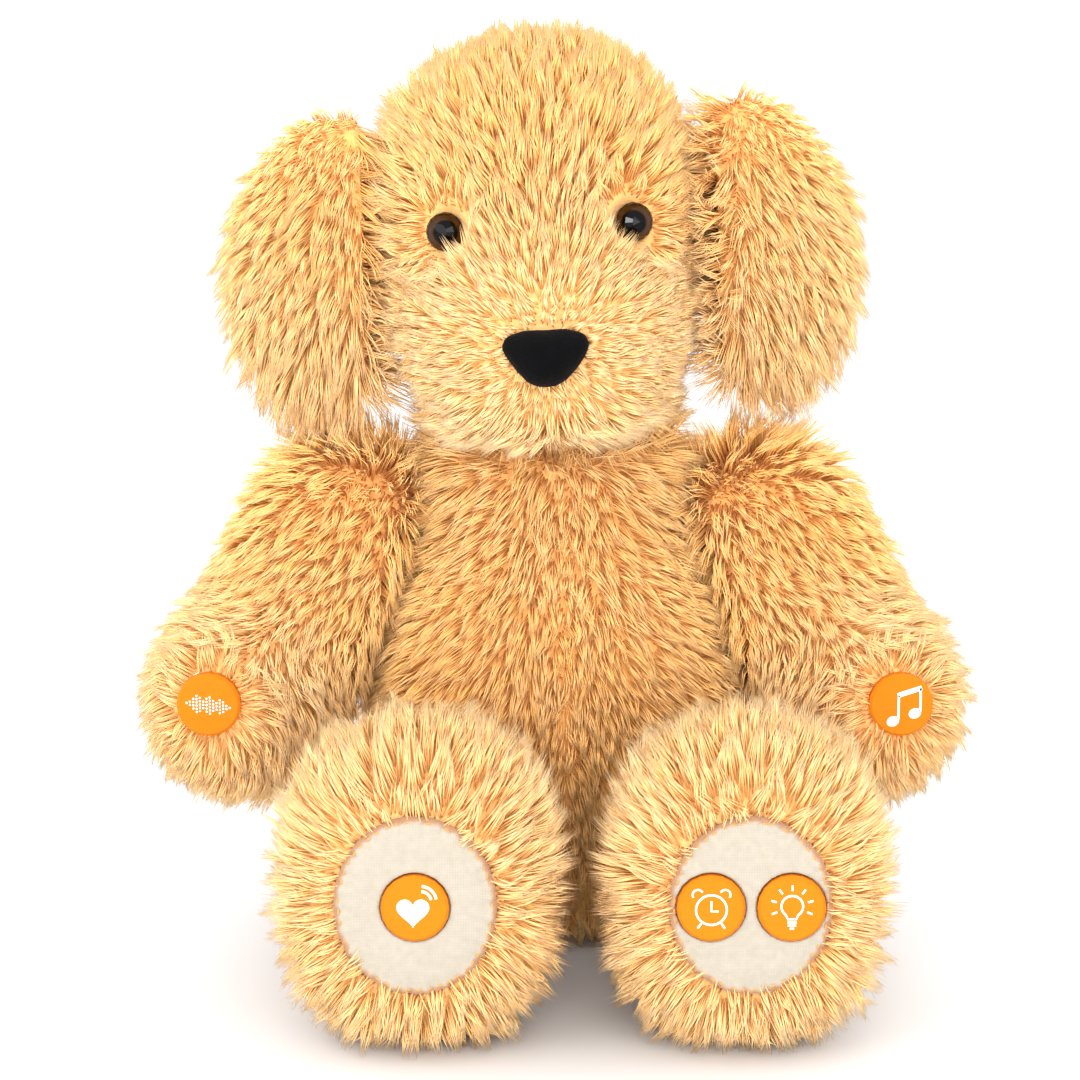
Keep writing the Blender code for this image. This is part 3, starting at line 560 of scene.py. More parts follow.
def brush_arm(side):
    """Down the arm, turning away from the disc all round the hand."""
    shoulder, hand = PLACES[side + "_arm_swing"], HANDS[side]
    along = unit(hand + np.array((0, 0, -20)) * MM - shoulder)

    def brush(places, normals):
        gone = (places - shoulder) @ along
        reach = ramp(gone, 35 * MM, 75 * MM)
        root = 1 - ramp(gone, 0, 30 * MM)
        close = near(places, hand, 19 * MM, 4 * MM)[:, None]
        away = unit(places - hand)
        comb = flat_on(normals, along * 0.9 + away * reach[:, None] * 0.8)
        comb = flat_on(normals, comb * (1 - close) + away * close)
        length = 13.0 + 5.0 * root - 3.0 * near(places, hand, 15 * MM, 4 * MM)
        cover = 1 - near(places, hand, 10 * MM, 1 * MM)
        return comb * (1 - 0.6 * root)[:, None], length * MM, cover, 0.22 + 0.45 * reach
    return brush


def brush_leg(side):
    """Away from the sole, shorter round its brim and bare under it."""
    sole = SOLES[side]

    def brush(places, normals):
        x, y, z = places.T
        behind = y - sole[1]
        across = np.hypot((x - sole[0]) / (22.5 * MM), (z - sole[2]) / (25.5 * MM))
        brim = (1 - ramp(across, 1.1, 1.4)) * (1 - ramp(behind, 8 * MM, 20 * MM))
        under_pad = (1 - ramp(across, 0.92, 1.0)) * (1 - ramp(behind, 8 * MM, 14 * MM))
        comb = flat_on(normals, places - (sole + np.array((0, 12, 0)) * MM))
        pale = 0.25 + 0.45 * (1 - ramp(behind, 30 * MM, 80 * MM))
        return comb * (1 - 0.35 * brim)[:, None], (14.0 - 3.5 * brim) * MM, 1 - under_pad, pale
    return brush


def brush_tail(places, normals):
    """Away from the root, where it stands upright and hides the seam."""
    root = PLACES["tail_wag"]
    start = 1 - ramp(places[:, 1], root[1] + 4 * MM, root[1] + 18 * MM)
    comb = flat_on(normals, places - root) * (1 - 0.9 * start)[:, None]
    return comb, (13.0 + 4.0 * start) * MM, np.ones(len(places)), np.full(len(places), 0.4)


# %% [markdown]
# ## The skins themselves
#
# One skin for each body that moves, so that no fabric tears when a joint turns. The pad under each printed disc
# stays solid in the skin, so the disc sits on something.


# %% Cut, stuff and brush every skin
SKINS = {
    "torso": (brush_torso, ["torso_front_left_panel", "torso_front_right_panel", "torso_back_left_panel",
                            "torso_back_right_panel", "torso_stuffing"]),
    "neck": (brush_neck, ["neck_stuffing"]),
    "head": (brush_head, ["head_left_panel", "head_centre_panel", "head_right_panel", "muzzle_panel",
                          "head_stuffing"]),
    "tail": (brush_tail, ["tail"]),
}
for side in SIDES:
    for limb, brush, pieces in (("ear", brush_ear, ("front_panel", "back_panel")),
                                ("arm", brush_arm, ("outer_panel", "inner_panel", "stuffing")),
                                ("leg", brush_leg, ("upper_panel", "lower_panel", "stuffing"))):
        SKINS[f"{side}_{limb}"] = (brush(side), [f"{side}_{limb}_{piece}" for piece in pieces])
FILLERS = {
    "torso": ["seat_bean_bag", "closure_loop_tape", "closure_hook_tape", "sound_box_front", "sound_box_back",
              "battery_door", "night_light_lens", "speaker", "circuit_board", "battery_1", "battery_2",
              "battery_3"],
    "left_arm": ["left_hand_button", "left_hand_switch"],
    "right_arm": ["right_hand_button", "right_hand_switch"],
    "left_leg": ["left_sole_pad", "left_foot_inner_button", "left_foot_outer_button",
                 "left_foot_inner_switch", "left_foot_outer_switch"],
    "right_leg": ["right_sole_pad", "right_foot_button", "right_foot_switch"],
}
VOXEL = 3.0 * MM
FUR_SHARE = 0.36
SWELL = 2.0 * MM
TONE_WAVES = 12.0 * MM


def store(mesh, name, values, kind="FLOAT"):
    values = np.asarray(values, np.float32)
    layer = mesh.attributes.new(name, kind, "POINT")
    layer.data.foreach_set("vector" if kind == "FLOAT_VECTOR" else "value", values.ravel())


def overstuffed(name, places):
    """1 where the filling swells out beside the neck: shoulders, collar and chin."""
    x, _, z = places.T
    if name == "head":
        aside = ramp(np.abs(x - NECK[0]), 18 * MM, 42 * MM)
        return (1 - ramp(z, NECK[2], NECK[2] + 30 * MM)) * (1 - aside)
    if name in ("torso", "neck", "left_arm", "right_arm"):
        return ramp(z, 132 * MM, 156 * MM)
    return np.zeros(len(places))


def make_skin(name):
    """One body's skin, carrying how its fur lies, how long, thick and pale it is."""
    brush, nodes = SKINS[name]
    piece = lump_of(name + "_skin", nodes + FILLERS.get(name, []))
    even_out(piece, VOXEL, 6)
    stuff(piece)
    places, normals = points_of(piece.data), normals_of(piece.data)
    comb, length, cover, pale = brush(places, normals)
    swell = overstuffed(name, places)
    draw_in(piece, length * FUR_SHARE * (1 - swell) - SWELL * swell)
    relax = piece.modifiers.new("relax", "SMOOTH")
    relax.iterations = 3
    settle(piece)
    store(piece.data, "comb", comb, "FLOAT_VECTOR")
    store(piece.data, "length", length)
    store(piece.data, "cover", cover)
    store(piece.data, "tone", np.clip(pale + 0.12 * waves(places, TONE_WAVES), 0, 1))
    piece.data.materials.append(shaded_pile_ground)
    piece.data.shade_smooth()
    return piece


skins = {name: make_skin(name) for name in SKINS}
print("skins:", {name: len(skin.data.polygons) for name, skin in skins.items()})


# %% Leave out fur where two skins press together
LOOKS = (Vector((0.36, 0.48, 0.8)), Vector((-0.6, 0.64, 0.48)), Vector((0.48, -0.8, -0.36)))
PRESSED = 1.5 * MM
SEARCH = 30.0 * MM
TOUCHING = {
    "torso": ["left_arm", "right_arm", "left_leg", "right_leg", "head", "neck"],
    "head": ["left_ear", "right_ear", "neck", "torso"],
    "tail": ["torso"],
    "neck": ["head", "torso"],
}
for side in SIDES:
    TOUCHING.update({side + "_arm": ["torso"], side + "_leg": ["torso"], side + "_ear": ["head"]})


def inside(tree, place):
    """A point is inside a closed skin if every ray from it meets the skin from behind."""
    for look in LOOKS:
        spot, normal, _, _ = tree.ray_cast(place, look)
        if spot is None or normal.dot(look) < 0:
            return False
    return True


def buried(places, other, depth):
    """1 where a point lies deeper than depth inside another skin."""
    tree = BVHTree.FromObject(other, bpy.context.evaluated_depsgraph_get())
    found = np.zeros(len(places))
    for i, place in enumerate(places):
        spot, _, _, far = tree.find_nearest(Vector(place), SEARCH)
        if spot is not None and far > depth and inside(tree, Vector(place)):
            found[i] = 1.0
    return found


def cover_of(mesh):
    cover = np.empty(len(mesh.vertices), np.float32)
    mesh.attributes["cover"].data.foreach_get("value", cover)
    return cover


def set_cover(mesh, cover):
    mesh.attributes["cover"].data.foreach_set("value", np.asarray(cover, np.float32))


for name, others in TOUCHING.items():
    mesh = skins[name].data
    places = points_of(mesh)
    hidden = np.max([buried(places, skins[other], PRESSED) for other in others], axis=0)
    set_cover(mesh, cover_of(mesh) * (1 - hidden))
    print(name, "has", int(hidden.sum()), "of", len(places), "points pressed against another skin")

# %% [markdown]
# ## Growing the pile
#
# Real pile is woven as single fibres that cling together in locks. Here one small Geometry Nodes tree does the
# same: it scatters lock tips over the skin, scatters many more roots, and leans each strand from its root towards
# the nearest lock tip. A strand is a bent, closed cone of a few faces. Hair curves would be lighter, but they
# don't travel to other programs, so the strands are real faces.


# %% Shared parts of the two growing trees
def open_tree(name, sockets):
    """A new tree, the sockets its inputs arrive at, and each named input's identifier."""
    tree = bpy.data.node_groups.new(name, "GeometryNodeTree")
    tree.interface.new_socket("Geometry", in_out="INPUT", socket_type="NodeSocketGeometry")
    tree.interface.new_socket("Geometry", in_out="OUTPUT", socket_type="NodeSocketGeometry")
    names = {}
    for label, kind, value in sockets:
        socket = tree.interface.new_socket(label, in_out="INPUT", socket_type="NodeSocket" + kind)
        if value is not None:
            socket.default_value = value
        names[label] = socket.identifier
    entry = node(tree, "NodeGroupInput")
    return tree, {socket.name: socket for socket in entry.outputs if socket.name}, names


def close_tree(tree, geometry, material):
    smooth = node(tree, "GeometryNodeSetShadeSmooth", Geometry=geometry)
    dyed = node(tree, "GeometryNodeSetMaterial", Geometry=smooth.outputs[0], Material=material)
    leave = node(tree, "NodeGroupOutput")
    tree.links.new(dyed.outputs[0], leave.inputs[0])


def here(tree):
    return node(tree, "GeometryNodeInputPosition").outputs[0]


def attribute(tree, name, kind="FLOAT"):
    return node(tree, "GeometryNodeInputNamedAttribute", {"data_type": kind}, Name=name).outputs["Attribute"]


def stored(tree, geometry, name, value, kind="FLOAT", domain="POINT"):
    return node(tree, "GeometryNodeStoreNamedAttribute", {"data_type": kind, "domain": domain},
                Geometry=geometry, Name=name, Value=value).outputs[0]


def chance(tree, low, high, seed):
    return node(tree, "FunctionNodeRandomValue", {"data_type": "FLOAT"}, _2=low, _3=high, Seed=seed).outputs[1]


# %% The tree that grows fur
FUR_SOCKETS = (
    ("Roots per square metre", "Float", 600000.0), ("Locks per square metre", "Float", 100000.0),
    ("Length", "Float", 1.0), ("Thickness", "Float", 0.34 * MM), ("Lean", "Float", 1.35),
    ("Clump", "Float", 0.68), ("Wildness", "Float", 0.55), ("Bend", "Float", 4.5), ("Segments", "Int", 2),
    ("Seed", "Int", 1), ("Floor", "Float", 0.6 * MM), ("Material", "Material", None),
)


def scattered(tree, skin, thickness, seed):
    """Points over the skin, as thick as its cover says, and the skin's normal at each."""
    made = node(tree, "GeometryNodeDistributePointsOnFaces", {"distribute_method": "RANDOM"}, Mesh=skin,
                Density=times(tree, attribute(tree, "cover"), thickness), Seed=seed)
    return made.outputs["Points"], made.outputs["Normal"]


def reaching(tree, given, normal, seed, wildness, shortest, longest):
    """Where a strand from here ends: up and along the brushing, with a share of the wildness."""
    wild = node(tree, "FunctionNodeRandomValue", {"data_type": "FLOAT_VECTOR"}, _0=(-1, -1, -1), _1=(1, 1, 1),
                Seed=seed)
    lean = scaled(tree, attribute(tree, "comb", "FLOAT_VECTOR"), given["Lean"])
    stray = scaled(tree, wild.outputs[0], times(tree, given["Wildness"], wildness))
    way = vector_work(tree, "ADD", vector_work(tree, "ADD", normal, lean), stray)
    length = times(tree, attribute(tree, "length"), given["Length"])
    size = times(tree, length, chance(tree, shortest, longest, plus(tree, seed, 1.0)))
    return vector_work(tree, "ADD", here(tree), scaled(tree, vector_work(tree, "NORMALIZE", way), size))


def strand(tree, given):
    """One fibre along Z: a closed cone of unit length with a belly, bowed to one side."""
    cone = node(tree, "GeometryNodeMeshCone", {"fill_type": "NGON"}, Vertices=3, Radius_Top=0.0,
                Radius_Bottom=1.0, Depth=1.0, Side_Segments=given["Segments"])
    x, y, along = split(tree, here(tree))
    belly = maths(tree, "MULTIPLY_ADD", along, 1.0, 1.0)
    bow = times(tree, times(tree, along, maths(tree, "SUBTRACT", 1.0, along)), 4.0)
    across = maths(tree, "MULTIPLY_ADD", x, belly, times(tree, bow, given["Bend"]))
    bent = joined(tree, across, times(tree, y, belly), along)
    marked = stored(tree, cone.outputs["Mesh"], "along", along)
    return node(tree, "GeometryNodeSetPosition", Geometry=marked, Position=bent).outputs[0]


def sample(tree, points, value, index, kind):
    return node(tree, "GeometryNodeSampleIndex", {"data_type": kind, "domain": "POINT"}, Geometry=points,
                Value=value, Index=index).outputs[0]


def make_fur_tree():
    tree, given, names = open_tree("grow fur", FUR_SOCKETS)
    skin, seed, place = given["Geometry"], given["Seed"], here(tree)

    locks, normal = scattered(tree, skin, given["Locks per square metre"], seed)
    lock_end = reaching(tree, given, normal, plus(tree, seed, 11.0), 1.2, 0.8, 1.2)
    locks = stored(tree, locks, "tip", lock_end, "FLOAT_VECTOR")
    locks = stored(tree, locks, "tint", chance(tree, -0.14, 0.14, plus(tree, seed, 13.0)))
    nearest = node(tree, "GeometryNodeSampleNearest", {"domain": "POINT"}, Geometry=locks,
                   Sample_Position=place).outputs[0]
    lock_tip = sample(tree, locks, attribute(tree, "tip", "FLOAT_VECTOR"), nearest, "FLOAT_VECTOR")
    tint = sample(tree, locks, attribute(tree, "tint"), nearest, "FLOAT")

    roots, normal = scattered(tree, skin, given["Roots per square metre"], plus(tree, seed, 1.0))
    own_tip = reaching(tree, given, normal, plus(tree, seed, 2.0), 0.7, 0.7, 1.1)
    gathered = node(tree, "ShaderNodeMix", {"data_type": "VECTOR"}, _0=given["Clump"], _4=own_tip,
                    _5=lock_tip).outputs[1]
    x, y, z = split(tree, gathered)
    tip = joined(tree, x, y, maths(tree, "MAXIMUM", z, given["Floor"]))
    chord = vector_work(tree, "SUBTRACT", tip, place)
    width = times(tree, given["Thickness"], chance(tree, 0.7, 1.3, plus(tree, seed, 4.0)))
    stand = node(tree, "FunctionNodeAlignRotationToVector", {"axis": "Z"}, Vector=chord).outputs[0]
    turn = node(tree, "FunctionNodeAlignRotationToVector", {"axis": "X", "pivot_axis": "Z"}, Rotation=stand,
                Vector=normal).outputs[0]
    tone = plus(tree, plus(tree, attribute(tree, "tone"), tint), chance(tree, -0.16, 0.16, plus(tree, seed, 5.0)))
    planted = node(tree, "GeometryNodeInstanceOnPoints", Points=stored(tree, roots, "shade", tone),
                   Instance=strand(tree, given), Rotation=turn,
                   Scale=joined(tree, width, width, size_of(tree, chord)))
    real = node(tree, "GeometryNodeRealizeInstances", Geometry=planted.outputs[0]).outputs[0]
    clear = node(tree, "ShaderNodeClamp", Value=attribute(tree, "shade"), Min=0.02, Max=0.98).outputs[0]
    grown = stored(tree, real, STRAND_MAP, joined(tree, attribute(tree, "along"), clear), "FLOAT2", "CORNER")
    for spare in ("along", "shade", "comb", "length", "cover", "tone"):
        grown = node(tree, "GeometryNodeRemoveAttribute", Geometry=grown, Name=spare).outputs[0]
    close_tree(tree, grown, given["Material"])
    return tree, names


fur_tree, fur_sockets = make_fur_tree()
print("fur tree inputs:", sorted(fur_sockets))


# %% Grow fur on every skin
FUR_DENSITIES = {"head": 0.92, "torso": 0.73, "neck": 0.48, "left_ear": 0.87, "right_ear": 0.87, "left_arm": 0.76,
                 "right_arm": 0.76, "left_leg": 0.76, "right_leg": 0.76, "tail": 0.58}
STRAND_WIDTH = 0.25 * MM
STRAND_TRIANGLES = 10
MOST_TRIANGLES = 190000
FIRST_SEED = 40
BANDS = ("front", "middle", "back", "rear")


def grow(name, skin, **inputs):
    """Fur over a copy of the skin, as a plain mesh of strands."""
    piece = add_piece(name, skin.data.copy())
    worker = piece.modifiers.new("grow fur", "NODES")
    worker.node_group = fur_tree
    worker[fur_sockets["Material"]] = golden_pile
    for label, value in inputs.items():
        worker[fur_sockets[label.replace("_", " ")]] = value
    settle(piece)
    return piece


def furred_area(skin):
    cover = cover_of(skin.data)
    return sum(poly.area * float(np.mean(cover[list(poly.vertices)])) for poly in skin.data.polygons)


def patches_of(skin, count):
    """The skin as count copies, each furred on its own band from front to back."""
    depth, cover = points_of(skin.data)[:, 1], cover_of(skin.data)
    edges = np.quantile(depth[cover > 0.5], np.linspace(0, 1, count + 1))
    edges[0], edges[-1] = -9, 9
    for low, high in zip(edges[:-1], edges[1:]):
        patch = skin.copy()
        patch.data = skin.data.copy()
        set_cover(patch.data, cover * ((depth >= low) & (depth < high)))
        yield patch


total = 0
for number, (name, full) in enumerate(FUR_DENSITIES.items()):
    skin = skins[name]
    density = full * 1.0
    width = STRAND_WIDTH * 1.0
    count = max(1, math.ceil(furred_area(skin) / MM ** 2 * full * STRAND_TRIANGLES / MOST_TRIANGLES))
    for word, patch in zip(BANDS, patches_of(skin, count)):
        fur = grow(f"{name}_fur_{word}", patch, Roots_per_square_metre=density / MM ** 2, Thickness=width,
                   Seed=FIRST_SEED + number)
        bpy.data.objects.remove(patch)
        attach(fur, name)
        faces = sum(len(poly.vertices) - 2 for poly in fur.data.polygons)
        total += faces
        print(f"{fur.name}: {faces} triangles")
    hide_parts(*[each for each in SKINS[name][1] if not each.endswith("stuffing") or name == "neck"])
    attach(skin, name)
print("fur triangles:", total)

# %% [markdown]
# ## Two glossy eyes and a flocked nose
#
# The eyes are moulded domes of amber plastic with a black pupil behind, held by a washer inside the head. Their
# shape is right in the frame, so they only need a finish: rings of colour measured from each eye's own middle.
# The nose is a hard form covered in short black flock, which drinks light and shows a fine grain.


# %% Eye and nose finishes
PUPIL = (3.5 * MM, 4.2 * MM)
RIM = (4.9 * MM, 5.8 * MM)


def make_eye_finish(name, middle):
    material, tree = new_material(name, 0.06, specular=0.14)
    where = own_place(tree)
    moved = vector_work(tree, "SUBTRACT", where, tuple(middle))
    x, _, z = split(tree, moved)
    far = size_of(tree, joined(tree, x, 0.0, z))
    grain = noise(tree, where, 700.0)
    amber = mixed(tree, grain, shade(44, 25, 8), shade(70, 44, 16))
    iris = mixed(tree, softly(tree, far, *RIM), amber, shade(20, 10, 3))
    wear(material, mixed(tree, softly(tree, far, *PUPIL), shade(3, 2, 2), iris))
    return material


def make_flock_finish():
    material, tree = new_material("black flock", 0.95, sheen=0.02, specular=0.08)
    where = own_place(tree)
    fuzz = noise(tree, where, 1800.0, 3.0)
    cloud = noise(tree, where, 180.0)
    colour = mixed(tree, times(tree, fuzz, cloud), shade(1, 1, 2), shade(13, 13, 15))
    wear(material, colour, height=fuzz, depth=0.25 * MM, strength=0.9)
    return material


def dress(name, material):
    """Gives a carried-over node a finish in every slot it has."""
    mesh = frame["nodes"][name].data
    if not mesh.materials:
        mesh.materials.append(material)
    for i in range(len(mesh.materials)):
        mesh.materials[i] = material


for side in SIDES:
    dress(side + "_eye", make_eye_finish(side + " eye plastic", centre_of(side + "_eye")))


def make_nose():
    """The nose's hard form with its flock on: rounder corners, a narrow foot and a dip in its top."""
    piece = lump_of("flocked_nose", ["nose"])
    even_out(piece, 0.6 * MM, 14)
    low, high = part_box("nose")
    places = points_of(piece.data)
    up = np.clip((places[:, 2] - low.z) / (high.z - low.z), 0, 1)
    places[:, 0] = NOSE[0] + (places[:, 0] - NOSE[0]) * (0.80 + 0.24 * ramp(up, 0.0, 0.75))
    dip = np.exp(-((places[:, 0] - NOSE[0]) / (3.6 * MM)) ** 2) * ramp(up, 0.6, 1.0)
    places[:, 2] -= 0.35 * MM * dip
    places[:, 1] += 2.2 * MM
    places[:, 1] -= 0.7 * MM * (1 - ramp(np.hypot(places[:, 0] - NOSE[0], places[:, 2] - NOSE[2]), 0, 9 * MM))
    move_points(piece.data, places)
    piece.data.materials.append(make_flock_finish())
    piece.data.shade_smooth()
    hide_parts("nose")
    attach(piece, "head")
    return piece


make_nose()
print("eyes at", [np.round(eye / MM, 1).tolist() for eye in EYES])

# %% [markdown]
# ## Linen soles with a gathered seam
#
# Each sole is a plump oval of cream linen. Where the long pile is sewn to it, the edge puckers into small radial
# folds. The oval starts from the frame's own pad, holes and all, is remade in fine squares, and its folds are
# worked in by moving points along the foot, because a cloth run would not know where the needle went.


# %% Linen finish
def weave(tree, where, pitch):
    """A plain weave's height from 0 to 1, with threads along X and Z."""
    x, _, z = split(tree, where)
    warp, weft = [maths(tree, "ABSOLUTE", maths(tree, "SINE", times(tree, way, math.pi / pitch))) for way in (x, z)]
    return times(tree, plus(tree, warp, weft), 0.5)


def make_linen():
    material, tree = new_material("cream linen", 0.85, sheen=0.3)
    where = own_place(tree)
    threads = weave(tree, where, 0.45 * MM)
    slub = noise(tree, where, 420.0, 3.0)
    stain = noise(tree, where, 60.0)
    cloth = mixed(tree, stain, shade(174, 168, 158), shade(186, 182, 174))
    woven = mixed(tree, times(tree, threads, slub), shade(158, 148, 130), cloth)
    edge = painted(tree, "edge")
    colour = mixed(tree, edge, woven, shade(150, 92, 36))
    wear(material, colour, height=plus(tree, threads, slub), depth=0.18 * MM, strength=0.7)
    return material


def make_sole(side, linen):
    node_name = side + "_sole_pad"
    piece = lump_of(side + "_linen_sole", [node_name])
    even_out(piece, 0.7 * MM, 2)
    low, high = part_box(node_name)
    places = points_of(piece.data)
    middle = (np.array(low) + np.array(high)) / 2
    half = (np.array(high) - np.array(low)) / 2
    across = (places[:, 0] - middle[0]) / half[0]
    up = (places[:, 2] - middle[2]) / half[2]
    far = np.hypot(across, up)
    angle = np.arctan2(up, across)
    fold = np.sin(angle * 31 + 1.4 * np.sin(angle * 5)) * np.sin(angle * 13 + 1.0)
    edge = ramp(far, 0.72, 0.98)
    front = 1 - ramp(places[:, 1], low[1] + 0.6 * MM, high[1])
    creases = 0.25 * MM * waves(places * np.array((1, 0, 1.6)), 7 * MM, 2.0) * (1 - edge)
    places[:, 1] += front * (edge * (1.1 + 0.55 * fold) * MM + creases * 0.8)
    move_points(piece.data, places)
    store(piece.data, "edge", 0.75 * ramp(far + 0.012 * fold, 0.925, 0.965))
    piece.data.materials.append(linen)
    piece.data.shade_smooth()
    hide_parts(node_name)
    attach(piece, side + "_leg")
    return piece


linen = make_linen()
soles = {side: make_sole(side, linen) for side in SIDES}
print("sole faces:", {side: len(sole.data.polygons) for side, sole in soles.items()})


# %% Seam stitches round each sole
def make_thread_finish():
    material, tree = new_material("amber thread", 0.6, sheen=0.2)
    where = own_place(tree)
    twist = noise(tree, where, 2500.0)
    colour = mixed(tree, twist, shade(168, 104, 40), shade(222, 164, 92))
    wear(material, colour, height=twist, depth=0.1 * MM)
    return material


STITCH_SOCKETS = (("Stitch length", "Float", 2.2 * MM), ("Pitch", "Float", 3.0 * MM), ("Thread", "Float", 0.38 * MM),
                  ("Material", "Material", None))
STITCH_MARKS = 90
STITCH_RING = 0.935


def make_stitch_tree():
    tree, given, names = open_tree("row of stitches", STITCH_SOCKETS)
    path = node(tree, "GeometryNodeMeshToCurve", Mesh=given["Geometry"])
    marks = node(tree, "GeometryNodeResampleCurve", {"mode": "LENGTH"}, Curve=path.outputs[0], Length=given["Pitch"])
    ball = node(tree, "GeometryNodeMeshUVSphere", Segments=6, Rings=5, Radius=1.0)
    size = joined(tree, given["Thread"], given["Thread"], times(tree, given["Stitch length"], 0.5))
    tangent = node(tree, "GeometryNodeInputTangent").outputs[0]
    way = node(tree, "FunctionNodeAlignRotationToVector", {"axis": "Z"}, Vector=tangent)
    sewn = node(tree, "GeometryNodeInstanceOnPoints", Points=marks.outputs[0], Instance=ball.outputs[0],
                Rotation=way.outputs[0], Scale=size)
    real = node(tree, "GeometryNodeRealizeInstances", Geometry=sewn.outputs[0])
    close_tree(tree, real.outputs[0], given["Material"])
    return tree, names


def stitch_sole(side, tree, names, thread):
    low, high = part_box(side + "_sole_pad")
    middle, half = (low + high) / 2, (high - low) / 2
    turns = [math.tau * i / STITCH_MARKS for i in range(STITCH_MARKS)]
    ring = [(middle.x + math.cos(a) * half.x * STITCH_RING, low.y + 1.1 * MM,
             middle.z + math.sin(a) * half.z * STITCH_RING) for a in turns]
    mesh = bpy.data.meshes.new(side + "_sole_stitches")
    mesh.from_pydata(ring, [(i, (i + 1) % STITCH_MARKS) for i in range(STITCH_MARKS)], [])
    piece = add_piece(side + "_sole_stitches", mesh)
    worker = piece.modifiers.new("stitches", "NODES")
    worker.node_group = tree
    worker[names["Material"]] = thread
    settle(piece)
    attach(piece, side + "_leg")
    return piece


thread = make_thread_finish()
stitch_tree, stitch_names = make_stitch_tree()
for side in SIDES:
    row = stitch_sole(side, stitch_tree, stitch_names, thread)
    print(row.name, len(row.data.polygons), "faces")

# %% [markdown]
# ## Printed discs
#
# Every push button is a foam disc in orange cloth with a plain white sign for what it plays. The signs are simple
# ones drawn here: a heart, a clock, a lamp bulb, a pair of notes and a sound wave. Each is a thin raised print,
# made from flat outlines and bands, so it stays crisp close up and rides on its own button.


# %% Cloth and ink for the discs
def make_disc_cloth():
    material, tree = new_material("orange print", 0.8, specular=0.2)
    where = own_place(tree)
    threads = weave(tree, where, 0.4 * MM)
    patch = noise(tree, where, 150.0)
    cloth = mixed(tree, patch, shade(204, 110, 3), shade(210, 120, 8))
    colour = mixed(tree, threads, shade(196, 102, 2), cloth)
    wear(material, colour, height=threads, depth=0.1 * MM, strength=0.5)
    return material


def make_ink():
    material, tree = new_material("white ink", 0.6)
    where = own_place(tree)
    speck = noise(tree, where, 1500.0)
    colour = mixed(tree, speck, shade(248, 244, 236), shade(255, 255, 255))
    wear(material, colour, height=speck, depth=0.05 * MM)
    return material


# %% Outlines and bands for the signs
def circle(cx, cz, radius, count=24, start=0.0, turn=math.tau):
    steps = count if turn >= math.tau else count + 1
    angles = [start + turn * i / count for i in range(steps)]
    return [(cx + radius * math.cos(a), cz + radius * math.sin(a)) for a in angles]


def oval(cx, cz, wide, tall, tilt, count=20):
    points = []
    for i in range(count):
        x, z = wide * math.cos(math.tau * i / count), tall * math.sin(math.tau * i / count)
        points.append((cx + x * math.cos(tilt) - z * math.sin(tilt), cz + x * math.sin(tilt) + z * math.cos(tilt)))
    return points


def heart(cx, cz, size, count=40):
    points = []
    for i in range(count):
        a = math.tau * i / count
        x = 16 * math.sin(a) ** 3
        z = 13 * math.cos(a) - 5 * math.cos(2 * a) - 2 * math.cos(3 * a) - math.cos(4 * a)
        points.append((cx - x * size / 16, cz + z * size / 16))
    return points


def band(path, width, closed=False):
    """The outline of a line of even width along path: its left side, then its right side."""
    count = len(path)
    left, right = [], []
    for i, (x, z) in enumerate(path):
        before = path[i - 1] if (closed or i) else path[i]
        after = path[(i + 1) % count] if (closed or i < count - 1) else path[i]
        dx, dz = after[0] - before[0], after[1] - before[1]
        size = math.hypot(dx, dz) or 1.0
        left.append((x - dz / size * width / 2, z + dx / size * width / 2))
        right.append((x + dz / size * width / 2, z - dx / size * width / 2))
    return left, right


# %% The five signs, each as filled outlines and lines, in millimetres from the middle of its disc
LINE = 0.55
WAVE_HEIGHTS = (1, 2, 4, 6, 5, 3, 5, 6, 4, 3, 5, 4, 2, 1)
WAVE_PITCH = 1.05


def line(path, width=LINE, closed=False):
    return path, width, closed


def clock():
    bells = [line(circle(x, 4.3, 1.5, 10, start, 3.2), 0.5) for x, start in ((-3.9, 0.5), (3.9, -0.55))]
    feet = [line([(way * 2.9, -4.2), (way * 3.9, -5.6)]) for way in (-1, 1)]
    hands = line([(0, 2.4), (0, -0.6), (2.0, -0.6)])
    return [], [line(circle(0, -0.2, 4.4, 40), closed=True), hands, *bells, *feet]


def lamp_bulb():
    glass = line(circle(0, 0.9, 3.1, 24, -0.95, 5.04) + [(-1.2, -2.9), (1.2, -2.9), (1.8, -1.62)])
    cap = [line([(-wide, z), (wide, z)]) for wide, z in ((1.3, -3.9), (1.2, -4.8), (0.6, -5.7))]
    angles = [math.radians(-22 + 37.3 * i) for i in range(7)]
    rays = [line([(far * math.cos(a), 0.9 + far * math.sin(a)) for far in (4.6, 6.2)], 0.5) for a in angles]
    return [], [glass, *cap, *rays]


def beating_heart():
    return [heart(-0.5, -0.6, 4.7)], [line(circle(1.8, 2.4, far, 10, 0.15, 1.35), 0.75) for far in (2.9, 4.4)]


def two_notes():
    stems = [line([(-0.9, -4.6), (-0.9, 3.2)], 0.7), line([(6.0, -2.0), (6.0, 5.6)], 0.7)]
    heads = [oval(-2.6, -5.2, 2.0, 1.6, 0.4), oval(4.3, -2.6, 2.0, 1.6, 0.4)]
    return heads, [*stems, line([(-1.2, 3.2), (6.35, 5.7)], 1.5)]


def sound_wave():
    dots = []
    for column, height in enumerate(WAVE_HEIGHTS):
        x = (column - (len(WAVE_HEIGHTS) - 1) / 2) * WAVE_PITCH
        for row in range(height):
            dots.append(circle(x, (row - (height - 1) / 2) * WAVE_PITCH - 0.12 * x, 0.33, 8))
    return dots, []


SIGNS = {"left_foot_inner_button": clock(), "left_foot_outer_button": lamp_bulb(),
         "right_foot_button": beating_heart(), "left_hand_button": two_notes(),
         "right_hand_button": sound_wave()}
INK = 0.22 * MM


